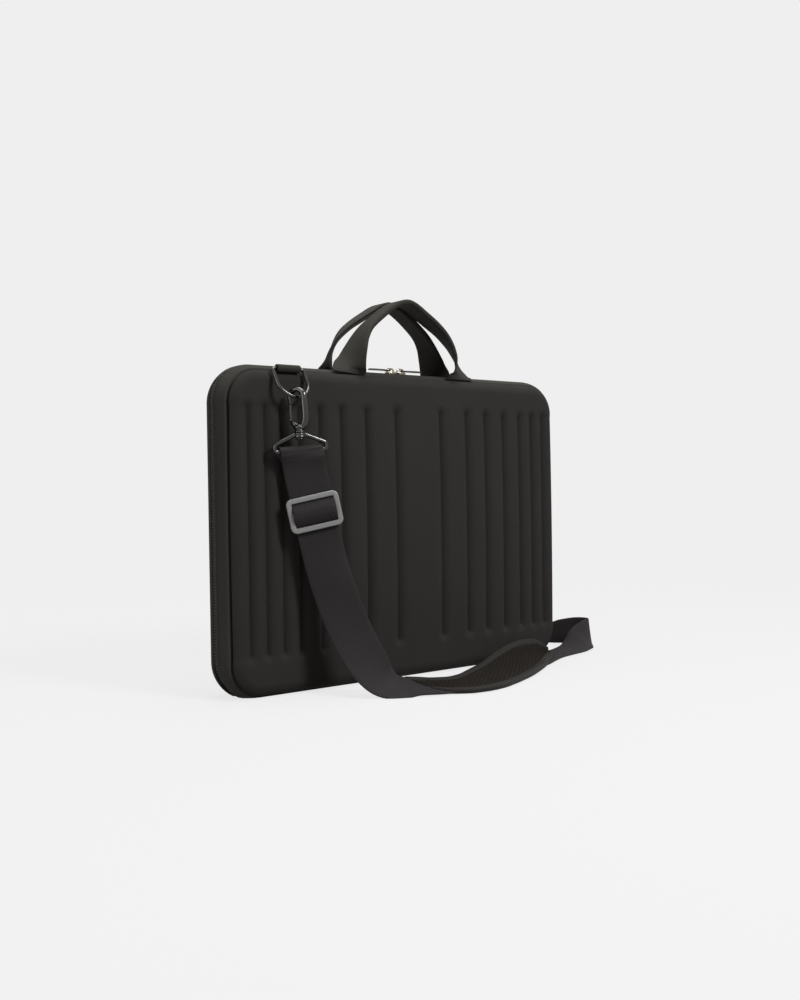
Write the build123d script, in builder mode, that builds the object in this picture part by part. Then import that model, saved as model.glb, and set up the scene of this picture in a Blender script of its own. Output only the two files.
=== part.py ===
from build123d import *
from math import cos, radians, sin, sqrt
import os

# Zip-round moulded laptop case, standing on its bottom edge, in millimetres.
# The origin is on the floor under the middle of the case: +X runs along the case,
# +Y from the front half to the rear half, +Z up. The two halves meet at y = 0.

# ---- the case body ----
case_width = 405.0  # over the zip, side to side
case_height = 295.0  # floor to the top of the zip
corner_radius = 35.0  # of the widest outline
bottom_squash = 3.5  # how far the bulging side wall is flattened where it stands
half_gap = 0.15  # from the middle plane to each half
seam_y = 19.0  # where the moulded face is sewn to the side wall
seam_width = 1.2
face_y = 28.0  # crown of the moulded face
face_crown_radius = 7000.0
shoulder_radius = 12.0
shell_setback = 4.4  # moulded face inside the widest outline, before its shoulder
shell_thickness = 5.5
side_bulge_radius = 30.0
side_end_y = 4.2  # the side wall's edge along the zip
rim_setback = 8.6  # stiff rim that carries the side wall
rim_thickness = 2.2
rim_end_y = 5.0
lining_thickness = 0.8
tray_radius = 8.0

# ---- flutes in the moulded face ----
flute_positions = [27.5, 61.0, 88.0, 114.5, 137.0, 157.0, 175.0]  # from the middle
flute_bottom = 28.0
flute_top = 265.5
flute_depth = 3.0
flute_half_width = 7.0
flute_lip = 0.1  # the cutter's edge over the face, so that it crosses it at an angle

# ---- zip ----
tape_thickness = 0.8
tape_setback = 1.4
tape_inner_y = 10.0
teeth_y = 2.9
teeth_height = 2.7
zip_floor_gap = 0.4
spine_half_length = 142.0  # the fabric hinge along the bottom
spine_thickness = 1.4
slider_length = 10.4
slider_width = 8.2
slider_plate = 1.5
slider_gap = 2.0
slider_middle_x = 0.6
slider_slit = 1.5
spread_half_width = 2.0  # teeth held apart round the sliders' wedges
bridge_height = 3.9
bridge_width = 2.4
pull_length = 20.5
pull_width = 6.4
pull_thickness = 1.4
pull_pin_radius = 0.8
pull_hole = 3.0

# ---- webbing and its hardware ----
webbing_width = 38.0
webbing_thickness = 1.8
handle_width = 35.0
handle_thickness = 2.0
handle_x = 68.0
handle_seat = 3.7  # pivot below the top of the zip
tab_width = 24.0
tab_thickness = 1.3
ring_end_inset = 63.5  # middle of the ring from the end of the case
ring_pivot_y = -25.0
ring_seat = 4.2  # bar below the top of the zip
ring_wire = 3.4
ring_inner_width = 25.2
ring_drop = 30.2  # bar to bow, between wire centres
ring_tilt = 29.8  # outward from hanging straight down
bar_play = 0.3

# ---- swivel snap hook, in the frame of its own axis ----
hook_width = 19.0
hook_wire = 4.6
hook_top = 35.4  # above the middle of the swivel collar
hook_bottom = -1.5
hook_thickness = 4.4
hook_turn = -65.0  # heading of the hook's flat
gate_bottom = 4.5
gate_top = 20.0
collar_radius = 5.2
stem_radius = 2.2
rivet_radius = 3.6
boss_height = 4.4
base_wire = 4.6
base_inner_width = 40.4
base_bar_drop = 20.6  # bar below the middle of the swivel collar
base_shoulder_drop = 13.5
clip_below_ring = (0.6, -16.0, -52.8)  # middle of the swivel collar from the ring's bar
clip_lean = (-0.06, 0.015, 0.998)
strap_turn = -20.0  # heading of the webbing where it hangs on the clip

# ---- tri-glide ----
glide_width = 47.0
glide_height = 31.0
glide_thickness = 4.0
glide_slot_width = 39.6
glide_rail = 4.6
glide_bar_width = 6.0

# ---- inside ----
elastic_width = 25.0
elastic_thickness = 1.5
elastic_reach = 62.0  # from the tray's corner along both walls

os.makedirs("parts", exist_ok=True)

outline_top = case_height
outline_bottom = -bottom_squash
outline_height = outline_top - outline_bottom
outline_middle = (outline_top + outline_bottom) / 2
very_deep = 60.0
case_end = case_width / 2
handle_pivot_z = case_height - handle_seat
ring_x = ring_end_inset - case_end
ring_pivot_z = case_height - ring_seat
ring_pivot = Vector(ring_x, ring_pivot_y, ring_pivot_z)
clip_origin = ring_pivot + Vector(*clip_below_ring)


def save(part, name):
    part.label = name
    export_step(part, f"parts/{name}.step")


def pillow(setback, depth, edge_radius, crown_radius=None):
    """A rounded slab on the middle plane, out towards -Y, with its front edge rounded."""
    with BuildPart() as form:
        with BuildSketch(Plane.XZ):
            with Locations((0, outline_middle)):
                RectangleRounded(
                    case_width - 2 * setback,
                    outline_height - 2 * setback,
                    corner_radius - setback,
                )
        extrude(amount=depth + (8 if crown_radius else 0))
        if crown_radius:
            with Locations((0, crown_radius - depth, outline_middle)):
                Sphere(crown_radius, mode=Mode.INTERSECT)
        fillet(form.faces().sort_by(Axis.Y)[0].edges(), edge_radius)
    return form.part


def slab(y_near, y_far, z_low=-very_deep, z_high=case_height + very_deep):
    """Space between two planes y = -y_near and y = -y_far, above z_low."""
    with BuildPart() as space:
        with Locations((0, -(y_near + y_far) / 2, (z_low + z_high) / 2)):
            Box(case_width + very_deep, y_far - y_near, z_high - z_low)
    return space.part


def rounded_ring(setback, thickness, y_near, y_far):
    """A band round the case, following the zip's own outline."""
    ring_height = case_height - zip_floor_gap
    with BuildPart() as ring:
        with BuildSketch(Plane.XZ.offset(y_near)):
            with Locations((0, zip_floor_gap + ring_height / 2)):
                RectangleRounded(
                    case_width - 2 * setback, ring_height - 2 * setback, corner_radius - setback
                )
                RectangleRounded(
                    case_width - 2 * (setback + thickness),
                    ring_height - 2 * (setback + thickness),
                    corner_radius - setback - thickness,
                    mode=Mode.SUBTRACT,
                )
        extrude(amount=y_far - y_near)
        Box(2 * spine_half_length, 4 * very_deep, 20, mode=Mode.SUBTRACT)
    return ring.part


def flute_cutter(x):
    """Valley between two rounded ribs, laid square to the crowned face at x."""
    rise = flute_depth + flute_lip
    rib_radius = (flute_half_width**2 + rise**2) / (2 * rise)
    face_at_x = face_y - face_crown_radius + sqrt(face_crown_radius**2 - x**2)
    normal = Vector(x, -face_crown_radius, 0).normalized()
    length = flute_top - flute_bottom - 2 * flute_half_width
    middle = (flute_top + flute_bottom) / 2
    lip = Vector(flute_half_width, flute_lip)
    floor = Vector(0, -flute_depth)
    rib_centre = Vector(flute_half_width, flute_lip - rib_radius)
    half_way = (lip + floor) * 0.5 - rib_centre
    crest = rib_centre + half_way.normalized() * rib_radius
    with BuildPart() as cutter:
        with BuildSketch(Plane(origin=(x, -face_at_x, middle), x_dir=(0, 0, 1), z_dir=normal)):
            SlotCenterToCenter(length, 2 * flute_half_width)
        extrude(amount=5)
        for end in (-1, 1):
            across = Plane(
                origin=(x, -face_at_x, middle + end * length / 2),
                x_dir=Vector(0, 0, 1).cross(normal),
                z_dir=(0, 0, 1),
            )
            with BuildSketch(across) as half_valley:
                with BuildLine():
                    ThreePointArc((lip.X, -lip.Y), (crest.X, -crest.Y), (0, flute_depth))
                    Polyline((0, flute_depth), (0, -5), (lip.X, -5), (lip.X, -lip.Y))
                make_face()
            revolve(axis=Axis(across.origin, normal), revolution_arc=360)
            if end < 0:
                extrude(half_valley.sketch, amount=length)
                extrude(mirror(half_valley.sketch, about=Plane(across.origin, z_dir=across.x_dir),
                               mode=Mode.PRIVATE), amount=length)
    return cutter.part


def both_halves(part):
    """The front half's piece and its mirror image for the rear half."""
    return {"front": part, "rear": mirror(part, about=Plane.XZ)}


# ---- moulded face: crowned, fluted, with the stiff rim behind the side wall ----
with BuildPart() as shell_form:
    add(pillow(shell_setback, face_y, shoulder_radius, face_crown_radius))
    add(slab(seam_y + seam_width / 2, very_deep), mode=Mode.INTERSECT)
    for x in flute_positions:
        add(flute_cutter(x), mode=Mode.SUBTRACT)
        add(flute_cutter(-x), mode=Mode.SUBTRACT)

tray_setback = rim_setback + rim_thickness
tray_depth = face_y - shell_thickness
with BuildPart() as tray_form:
    add(pillow(tray_setback, tray_depth, tray_radius))

with BuildPart() as shell:
    with BuildSketch(Plane.XZ.offset(rim_end_y)):
        with Locations((0, outline_middle)):
            RectangleRounded(case_width - 2 * rim_setback, outline_height - 2 * rim_setback,
                             corner_radius - rim_setback)
    extrude(amount=seam_y + seam_width / 2 - rim_end_y)
    add(shell_form.part)
    add(tray_form.part, mode=Mode.SUBTRACT)

# ---- lining inside the tray ----
with BuildPart() as lining:
    add(tray_form.part)
    add(pillow(tray_setback + lining_thickness, tray_depth - lining_thickness,
               tray_radius - lining_thickness), mode=Mode.SUBTRACT)
    add(slab(rim_end_y, very_deep), mode=Mode.INTERSECT)

# ---- padded side wall between the seam and the zip, flattened where it stands ----
tape_ring = rounded_ring(tape_setback, tape_thickness, teeth_y, tape_inner_y)
with BuildPart() as side_wall:
    add(pillow(0, side_bulge_radius + 1, side_bulge_radius))
    add(slab(side_end_y, seam_y - seam_width / 2, 0), mode=Mode.INTERSECT)
    with BuildSketch(Plane.XZ):
        with Locations((0, outline_middle)):
            RectangleRounded(case_width - 2 * rim_setback, outline_height - 2 * rim_setback,
                             corner_radius - rim_setback)
    extrude(amount=very_deep, mode=Mode.SUBTRACT)
    add(tape_ring, mode=Mode.SUBTRACT)

# ---- zip: tape, and the teeth along its free edge, spread where the sliders' wedges are ----
with BuildPart() as teeth:
    add(rounded_ring(0, teeth_height, half_gap, teeth_y))
    with Locations((slider_middle_x, 0, case_height)):
        Box(2 * slider_length + slider_gap + 3, 2 * spread_half_width, 12, mode=Mode.SUBTRACT)

# ---- fabric hinge along the bottom, in one piece between the two side walls ----
with BuildPart() as spine:
    with Locations((0, 0, spine_thickness / 2)):
        Box(2 * spine_half_length, 2 * side_end_y, spine_thickness)
save(spine.part, "spine")

# ---- webbing tab over the seam that carries the D-ring, with a sleeve for its bar ----
with BuildPart() as ring_tab:
    with BuildSketch(Plane.YZ.offset(ring_x - tab_width / 2)):
        with BuildSketch(mode=Mode.PRIVATE) as sleeve:
            with Locations((ring_pivot_y, ring_pivot_z)):
                Circle(ring_wire / 2 + bar_play + tab_thickness)
            with Locations((-seam_y - 0.2, ring_pivot_z + 0.2)):
                Circle(tab_thickness)
            make_hull()
        add(sleeve.sketch)
        with Locations((ring_pivot_y, ring_pivot_z)):
            Circle(ring_wire / 2 + bar_play, mode=Mode.SUBTRACT)
    extrude(amount=tab_width)

for half, part in both_halves(shell.part).items():
    save(part, f"{half}_shell")
for half, part in both_halves(lining.part).items():
    save(part, f"{half}_lining")
for half, part in both_halves(side_wall.part).items():
    save(part, f"{half}_side_wall")
for half, part in both_halves(tape_ring).items():
    save(part, f"{half}_zip_tape")
for half, part in both_halves(teeth.part).items():
    save(part, f"{half}_zip_teeth")

# The rear clip hangs at the far end of the case: all of the front hardware turned half a turn.
half_turn = {"front": 0, "rear": 180}


def turned(part, half):
    return part.rotate(Axis.Z, half_turn[half])


for half in half_turn:
    save(turned(ring_tab.part, half), f"{half}_ring_tab")


# ---- D-ring: a straight bar in the tab, two short sides and a bow ----
ring_half = (ring_inner_width + ring_wire) / 2
ring_down = Vector(0, -sin(radians(ring_tilt)), -cos(radians(ring_tilt)))
ring_plane = Plane(origin=ring_pivot, x_dir=(1, 0, 0),
                   z_dir=ring_down.cross(Vector(1, 0, 0)))
side_drop = ring_drop - ring_half
with BuildPart() as d_ring:
    with BuildLine(ring_plane) as ring_path:
        RadiusArc((-ring_half, -3), (-ring_half + 3, 0), 3)
        Line((-ring_half + 3, 0), (ring_half - 3, 0))
        RadiusArc((ring_half - 3, 0), (ring_half, -3), 3)
        Line((ring_half, -3), (ring_half, -side_drop))
        ThreePointArc((ring_half, -side_drop), (0, -ring_drop), (-ring_half, -side_drop))
        Line((-ring_half, -side_drop), (-ring_half, -3))
    with BuildSketch(Plane(origin=ring_path.wire() @ 0, z_dir=ring_path.wire() % 0)):
        Circle(ring_wire / 2)
    sweep()

# ---- swivel snap hook ----
clip_axis = Vector(*clip_lean).normalized()
hook_plane = Plane(origin=clip_origin, z_dir=clip_axis,
                   x_dir=(cos(radians(hook_turn)), sin(radians(hook_turn)), 0))
hook_face = Plane(origin=clip_origin, x_dir=hook_plane.x_dir, z_dir=hook_plane.x_dir.cross(clip_axis))
hook_height = hook_top - hook_bottom
hook_middle = (hook_top + hook_bottom) / 2
window_width = hook_width - 2 * hook_wire
window_height = hook_height - 2 * hook_wire
gate_x = -(hook_width - hook_wire) / 2
with BuildPart() as hook:
    with BuildSketch(hook_face):
        with Locations((0, hook_middle)):
            SlotOverall(hook_height, hook_width, rotation=90)
            SlotOverall(window_height, window_width, rotation=90, mode=Mode.SUBTRACT)
        with Locations((gate_x, (gate_bottom + gate_top) / 2)):
            Rectangle(hook_wire + 2, gate_top - gate_bottom, mode=Mode.SUBTRACT)
    extrude(amount=hook_thickness / 2, both=True)
    fillet(hook.edges().filter_by(lambda edge: edge.geom_type == GeomType.CIRCLE), 1.2)
    with BuildSketch(hook_plane.offset(-4.6)):
        Circle(collar_radius)
    extrude(amount=7.0)
    with BuildSketch(hook_plane.offset(-4.6)):
        Circle(stem_radius)
    extrude(amount=-(boss_height + 0.6))
    with BuildSketch(hook_plane.offset(-4.6 - boss_height - 0.6)):
        Circle(rivet_radius)
    extrude(amount=-1.4)

# ---- spring gate in the hook's open side, on a cross pin at its foot ----
gate_play = 0.3
gate_width = hook_wire - 1.0
gate_pivot_drop = gate_bottom + gate_play + gate_width / 2
gate_length = gate_top - gate_play - gate_pivot_drop
with BuildPart() as gate:
    with BuildSketch(hook_face):
        with Locations((gate_x, gate_pivot_drop + gate_length / 2)):
            Rectangle(gate_width, gate_length)
        with Locations((gate_x, gate_pivot_drop)):
            Circle(gate_width / 2)
    extrude(amount=(hook_thickness - 0.8) / 2, both=True)

# ---- clip base: boss that turns on the hook's stem, over a frame for the webbing ----
base_plane = Plane(origin=clip_origin, z_dir=clip_axis,
                   x_dir=(cos(radians(strap_turn)), sin(radians(strap_turn)), 0))
base_face = Plane(origin=clip_origin, x_dir=base_plane.x_dir, z_dir=base_plane.x_dir.cross(clip_axis))
base_half = (base_inner_width + base_wire) / 2
boss_top = -4.6 - 0.3
boss_bottom = boss_top - boss_height
with BuildPart() as clip_base:
    with BuildSketch(base_face):
        with BuildLine():
            Polyline(
                (-4.6, boss_top - 0.5), (4.6, boss_top - 0.5),
                (base_half + 1.6, -base_shoulder_drop), (base_half + 2, -base_shoulder_drop - 1.6),
                (base_half + 2, -base_bar_drop - 2), (-base_half - 2, -base_bar_drop - 2),
                (-base_half - 2, -base_shoulder_drop - 1.6), (-base_half - 1.6, -base_shoulder_drop),
                (-4.6, boss_top - 0.5),
            )
        make_face()
        with BuildLine():
            Polyline(
                (-5.4, boss_bottom - 0.2), (5.4, boss_bottom - 0.2),
                (base_half - 2, -base_shoulder_drop - 2.2), (base_half - 2, -base_bar_drop + 2),
                (-base_half + 2, -base_bar_drop + 2), (-base_half + 2, -base_shoulder_drop - 2.2),
                (-5.4, boss_bottom - 0.2),
            )
        make_face(mode=Mode.SUBTRACT)
    extrude(amount=base_wire / 2, both=True)
    fillet(clip_base.edges().filter_by(lambda edge: abs((edge % 0.5).dot(base_face.z_dir)) < 0.01), 1.3)
    with BuildSketch(base_plane.offset(boss_bottom)):
        Circle(collar_radius)
    extrude(amount=boss_height)
    with BuildSketch(base_plane.offset(boss_top + 1)):
        Circle(stem_radius + bar_play)
    extrude(amount=-boss_height - 2, mode=Mode.SUBTRACT)

for half in half_turn:
    save(turned(d_ring.part, half), f"{half}_d_ring")
    save(turned(hook.part, half), f"{half}_snap_hook")
    save(turned(gate.part, half), f"{half}_hook_gate")
    save(turned(clip_base.part, half), f"{half}_clip_base")

# ---- zip sliders: top plate with a bridge, wedge, bottom plate; the pull hangs on the bridge ----
teeth_middle_z = case_height - teeth_height / 2
tape_middle_z = case_height - tape_setback - tape_thickness / 2
plate_gap = teeth_height + 0.8
plate_z = teeth_middle_z + plate_gap / 2
pull_pin_z = plate_z + slider_plate + 1.5


def zip_slider(side):
    """Slider on the left (side -1) or right (side 1) of the place where the two meet."""
    inner_x = slider_middle_x + side * slider_gap / 2
    centre_x = inner_x + side * slider_length / 2
    flange_foot = tape_middle_z + slider_slit / 2
    flange_width = 1.1
    with BuildPart() as slider:
        with Locations((centre_x, 0, plate_z + slider_plate / 2)):
            Box(slider_length, slider_width, slider_plate)
        with Locations((centre_x, 0, plate_z - plate_gap - slider_plate / 2)):
            Box(slider_length, slider_width - 0.8, slider_plate)
        fillet(slider.edges().filter_by(Axis.Z), 2.0)
        fillet(slider.faces().sort_by(Axis.Z)[-1].edges(), 0.6)
        with Locations((inner_x + side * 2.4, 0, teeth_middle_z)):
            Box(3.6, 2 * spread_half_width - 0.6, plate_gap + 0.2)
        for edge_y in (-1, 1):
            with Locations((centre_x, edge_y * (slider_width - flange_width) / 2, flange_foot)):
                Box(slider_length - 4, flange_width, plate_z - flange_foot,
                    align=(Align.CENTER, Align.CENTER, Align.MIN))
        with Locations((centre_x, 0, plate_z + slider_plate + bridge_height / 2 - 0.1)):
            Box(slider_length - 2.4, bridge_width, bridge_height + 0.2)
        fillet(slider.edges().filter_by(Axis.Y).sort_by(Axis.Z)[-2:], 1.5)
        with Locations((centre_x, 0, pull_pin_z)):
            Box(slider_length - 5.0, bridge_width + 1, 2.2, mode=Mode.SUBTRACT)
    return slider.part


def zip_pull(side):
    """Thin tag whose cross pin passes under the slider's bridge."""
    pin_x = slider_middle_x + side * (slider_gap / 2 + slider_length - 4.0)
    arm_y = bridge_width / 2 + 0.4 + 0.7
    neck_x = pin_x + side * 4.6
    end_x = neck_x + side * pull_length
    with BuildPart() as pull:
        with Locations(Location((pin_x, 0, pull_pin_z), (90, 0, 0))):
            Cylinder(pull_pin_radius, 2 * arm_y + 1.4)
        for edge_y in (-1, 1):
            with Locations(((pin_x + neck_x + side) / 2, edge_y * arm_y, pull_pin_z)):
                Box(abs(neck_x + side - pin_x), 1.4, pull_thickness)
        with BuildSketch(Plane.XY.offset(pull_pin_z - pull_thickness / 2)):
            with Locations(((neck_x + end_x) / 2, 0)):
                RectangleRounded(pull_length, pull_width, 2.4)
            with Locations((end_x - side * 3.4, 0)):
                Circle(pull_hole / 2, mode=Mode.SUBTRACT)
        extrude(amount=pull_thickness)
    return pull.part


for name, side in (("left", -1), ("right", 1)):
    save(zip_slider(side), f"zip_slider_{name}")
    save(zip_pull(side), f"zip_pull_{name}")


def ribbon(route, first, last):
    """Webbing through hand-set stations: x, y, z, heading and lift of its width, width, thickness."""
    points = [Vector(*station[:3]) for station in route]
    with BuildPart() as band:
        for i in range(first, last + 1):
            turn, lift, width, thickness = route[i][3:]
            along = (points[min(i + 1, len(points) - 1)] - points[max(i - 1, 0)]).normalized()
            across = Vector(cos(radians(turn)) * cos(radians(lift)),
                            sin(radians(turn)) * cos(radians(lift)), sin(radians(lift)))
            square = across - along * across.dot(along)
            with BuildSketch(Plane(origin=points[i], x_dir=square, z_dir=along)):
                Rectangle(width, thickness)
        loft(ruled=True)
    return band.part


# ---- carrying handles: flat where they are sewn in, folded in half and turned on edge above ----
# The left leg slants straight to the top, the right leg stands up first. The third number is
# the height above the pivot.
handle_stations = [
    (-handle_x, -seam_y, 0, 0, 0, handle_width, handle_thickness),
    (-handle_x, -seam_y, 2, 0, 0, handle_width, handle_thickness),
    (-66.8, -18.7, 6.9, -30, 0, 31, 2.2),
    (-63.5, -17.6, 13.7, -50, 0, 28, 2.6),
    (-58.5, -16.0, 23.7, -67, 0, 26.5, 3.2),
    (-52.0, -13.8, 34.2, -79, 0, 24, 4.0),
    (-43.0, -12.0, 44.7, -87, 0, 21, 4.6),
    (-30.0, -11.0, 55.2, -90, 0, 19.6, 5.0),
    (-17.0, -10.3, 64.7, -90, 0, 19.4, 5.0),
    (-6.0, -10.2, 70.5, -90, 0, 19.4, 5.0),
    (4.0, -10.2, 72.1, -90, 0, 19.4, 5.0),
    (13.0, -10.2, 69.3, -90, 0, 19.4, 5.0),
    (24.0, -10.3, 62.9, -90, 0, 19.4, 5.0),
    (38.0, -10.9, 54.2, -90, 0, 19.8, 5.0),
    (51.0, -12.2, 44.7, -92, 0, 21.5, 4.6),
    (60.0, -13.8, 33.7, -101, 0, 24.5, 4.0),
    (65.0, -15.8, 22.7, -113, 0, 27, 3.2),
    (67.0, -17.5, 13.2, -130, 0, 28, 2.6),
    (handle_x, -18.7, 6.9, -150, 0, 31, 2.2),
    (handle_x, -seam_y, 2, -180, 0, handle_width, handle_thickness),
    (handle_x, -seam_y, 0, -180, 0, handle_width, handle_thickness),
]
handle_route = [(x, y, handle_pivot_z + rise, *rest) for x, y, rise, *rest in handle_stations]
handle = ribbon(handle_route, 0, len(handle_route) - 1)
for half in half_turn:
    save(turned(handle, half), f"{half}_handle")

# ---- shoulder strap ----
# The webbing hangs straight from the front clip through the tri-glide, curls over on the floor,
# runs under the shoulder pad and turns round the end of the case to the rear clip. A station's
# heading and lift point from its outer (front) edge to its inner edge.
hang_top = clip_origin + Vector(2.8, -1.0, -30.0)
hang_end = clip_origin + Vector(18.8, -6.4, -110.0)
hang_turn = -27.0
hang_down = (hang_end - hang_top).normalized()
eye_end = hang_top - hang_down * 1.5

# eye stitched round the clip's bar, two layers down to the tri-glide
bar_centre = base_plane.origin - clip_axis * base_bar_drop
eye_radius = 2.3 + bar_play
eye_run = (hang_top - bar_centre).dot(clip_axis * -1)
with BuildPart() as front_eye:
    with BuildSketch(Plane(origin=bar_centre, x_dir=base_face.z_dir, z_dir=base_face.x_dir * -1)):
        with BuildSketch(mode=Mode.PRIVATE) as eye_outline:
            Circle(eye_radius + webbing_thickness)
            with Locations((0, -eye_run + webbing_thickness)):
                Circle(webbing_thickness)
            make_hull()
        add(eye_outline.sketch)
        Circle(eye_radius, mode=Mode.SUBTRACT)
    extrude(amount=webbing_width / 2 - 0.4, both=True)
    split(bisect_by=Plane(origin=eye_end, z_dir=hang_down * -1))

web = (webbing_width, webbing_thickness)
rear_end = Vector(-eye_end.X, -eye_end.Y, eye_end.Z)
rear_lead = Vector(-hang_down.X, -hang_down.Y, hang_down.Z) * 16
fall = hang_end.Z
strap_pieces = {
    "strap_front_hang": [
        (*eye_end, hang_turn, 0, *web),
        (*hang_end, hang_turn, 0, *web),
        (ring_x + 26, -53, 0.75 * fall, -35, 2, *web),
        (ring_x + 35, -62, 0.484 * fall, -30, 6, *web),
        (ring_x + 44, -72, 0.281 * fall, -18, 14, *web),
        (ring_x + 54, -81, 0.141 * fall, 5, 22, *web),
        (-71, -87, 9, 38, 20, *web),
        (-54, -92, 6, 62, 12, *web),
        (-32, -101, 4.2, 78, 8, *web),
    ],
    "strap_under_pad": [
        (-6, -109.5, 1.9, 90, 1, *web),
        (21.7, -102.5, 1.8, 98, 1, *web),
        (53.5, -87.5, 1.9, 104, 1.5, *web),
        (85.3, -72.5, 3.2, 107, 6, *web),
        (111.3, -61.5, 5.4, 108, 13, *web),
        (129.4, -56.5, 5.6, 105, 12, *web),
    ],
    "strap_floor_loop": [
        (152, -50, 4.4, 101, 7, *web),
        (175, -44.5, 3, 96, 3, *web),
        (case_end - 6.5, -39.5, 2.6, 98, 2, *web),
        (case_end + 11.5, -36, 2.8, 100, 3, *web),
        (case_end + 27.5, -30, 4.8, 106, 10, *web),
        (case_end + 40.5, -20, 10.8, 118, 30, *web),
        (case_end + 47.5, -6, 16.8, 140, 54, *web),
        (case_end + 47.5, 9, 19, 170, 66, *web),
    ],
    "strap_rear_drop": [
        (case_end + 42.5, 24, 19.5, 196, 62, *web),
        (case_end + 34.5, 40, 19, 210, 55, *web),
        (case_end + 25.5, 56, 18.5, 218, 50, *web),
        (case_end + 12.5, 72, 20, 230, 46, *web),
        (case_end - 4.5, 83, 27, 248, 40, *web),
        (case_end - 23.5, 83, 0.21 * rear_end.Z, 268, 26, *web),
        (case_end - 38.5, 73, 0.353 * rear_end.Z, 290, 14, *web),
        (case_end - 51.5, 59, 0.535 * rear_end.Z, 310, 6, *web),
        (case_end - 60.5, 49, 0.74 * rear_end.Z, 324, 2, *web),
        (*(rear_end + rear_lead), hang_turn + 360, 0, *web),
        (*rear_end, hang_turn + 360, 0, *web),
    ],
}
save(front_eye.part, "front_strap_eye")
save(front_eye.part.rotate(Axis.Z, 180), "rear_strap_eye")
strap_route = [station for stations in strap_pieces.values() for station in stations]
reached = 0
for name, stations in strap_pieces.items():
    first = max(reached - 1, 0)  # each piece starts at the last station of the one before
    reached += len(stations)
    save(ribbon(strap_route, first, reached - 1), name)

# ---- shoulder pad: foam with a bound edge and a ribbed inner face turned up ----
pad_thickness = 5.0
pad_route = [
    (-34, -98, 8.4, 76, 8, 34, pad_thickness),
    (-24, -104, 7.2, 82, 6, 38, pad_thickness),
    (-6, -109, 6.3, 90, 3, 44, pad_thickness),
    (21.7, -102, 6.2, 98, 2.5, 50, pad_thickness),
    (53.5, -87, 6.4, 104, 3.5, 56, pad_thickness),
    (70, -79.5, 7, 106, 5, 57, pad_thickness),
    (91, -69.5, 9.6, 108, 12, 56, pad_thickness),
    (110, -62, 12.8, 109, 20, 54, pad_thickness),
    (126, -56, 15.2, 108, 27, 46, pad_thickness),
    (138, -51.5, 15.6, 107, 32, 34, pad_thickness),
    (147, -48, 15, 106, 34, 16, pad_thickness),
]
save(ribbon(pad_route, 0, len(pad_route) - 1), "shoulder_pad")

# ---- tri-glide in front of the hanging webbing, and the fold of webbing over its bar ----
glide_origin = hang_top + (hang_end - hang_top) * 0.56
glide_across = Vector(cos(radians(hang_turn)), sin(radians(hang_turn)), 0)
glide_across = (glide_across - hang_down * glide_across.dot(hang_down)).normalized()
glide_out = glide_across.cross(hang_down * -1).normalized()
glide_lift = webbing_thickness / 2 + 0.4
glide_plane = Plane(origin=glide_origin + glide_out * glide_lift, x_dir=glide_across, z_dir=glide_out)
slot_height = (glide_height - 2 * glide_rail - glide_bar_width) / 2
slot_middle = (slot_height + glide_bar_width) / 2
with BuildPart() as tri_glide:
    with BuildSketch(glide_plane):
        RectangleRounded(glide_width, glide_height, 4)
        with Locations((0, slot_middle), (0, -slot_middle)):
            RectangleRounded(glide_slot_width, slot_height, 1.5, mode=Mode.SUBTRACT)
    extrude(amount=glide_thickness)
    fillet(tri_glide.faces().sort_by(Axis(glide_plane.origin, glide_out))[-1].edges(), 1.0)

fold_reach = slot_middle + 2.6
fold_rise = glide_thickness + webbing_thickness / 2 + 0.3
fold_section = Plane(origin=glide_plane.origin, x_dir=glide_plane.y_dir, z_dir=glide_across)
with BuildPart() as glide_fold:
    with BuildSketch(fold_section):
        with BuildLine() as fold_line:
            Polyline((-fold_reach, 1.2), (-glide_bar_width / 2 - 1.2, fold_rise),
                     (glide_bar_width / 2 + 1.2, fold_rise), (fold_reach, 1.2))
        trace(fold_line.edges(), line_width=webbing_thickness)
    extrude(amount=webbing_width / 2, both=True)
save(tri_glide.part, "tri_glide")
save(glide_fold.part, "glide_webbing_fold")

# ---- elastic corner straps across the rear tray, for the laptop ----
tray_half_width = case_width / 2 - tray_setback - lining_thickness
tray_top = outline_top - tray_setback - lining_thickness
tray_bottom = outline_bottom + tray_setback + lining_thickness
elastic_y = 12.0
elastic_corners = {
    "top_left": (-1, 1), "top_right": (1, 1), "bottom_left": (-1, -1), "bottom_right": (1, -1),
}
for name, (across_side, up_side) in elastic_corners.items():
    corner_x = across_side * (tray_half_width - 0.3)
    corner_z = (tray_top - 0.3) if up_side > 0 else (tray_bottom + 0.3)
    reach_x = corner_x - across_side * elastic_reach
    reach_z = corner_z - up_side * elastic_reach
    slant = elastic_width * 1.4142
    with BuildPart() as elastic:
        with BuildSketch(Plane.XZ.offset(-elastic_y)):
            with BuildLine():
                Polyline((reach_x, corner_z), (reach_x + across_side * slant, corner_z),
                         (corner_x, reach_z + up_side * slant), (corner_x, reach_z),
                         (reach_x, corner_z))
            make_face()
        extrude(amount=elastic_thickness)
    save(elastic.part, f"elastic_{name}")
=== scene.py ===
# Zip-round moulded laptop case with shoulder strap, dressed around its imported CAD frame.
# In metres and in the part's own frame: +X along the case, +Y to the rear half, +Z up.

import math

import bmesh
import bpy
from mathutils import Matrix, Vector


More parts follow.
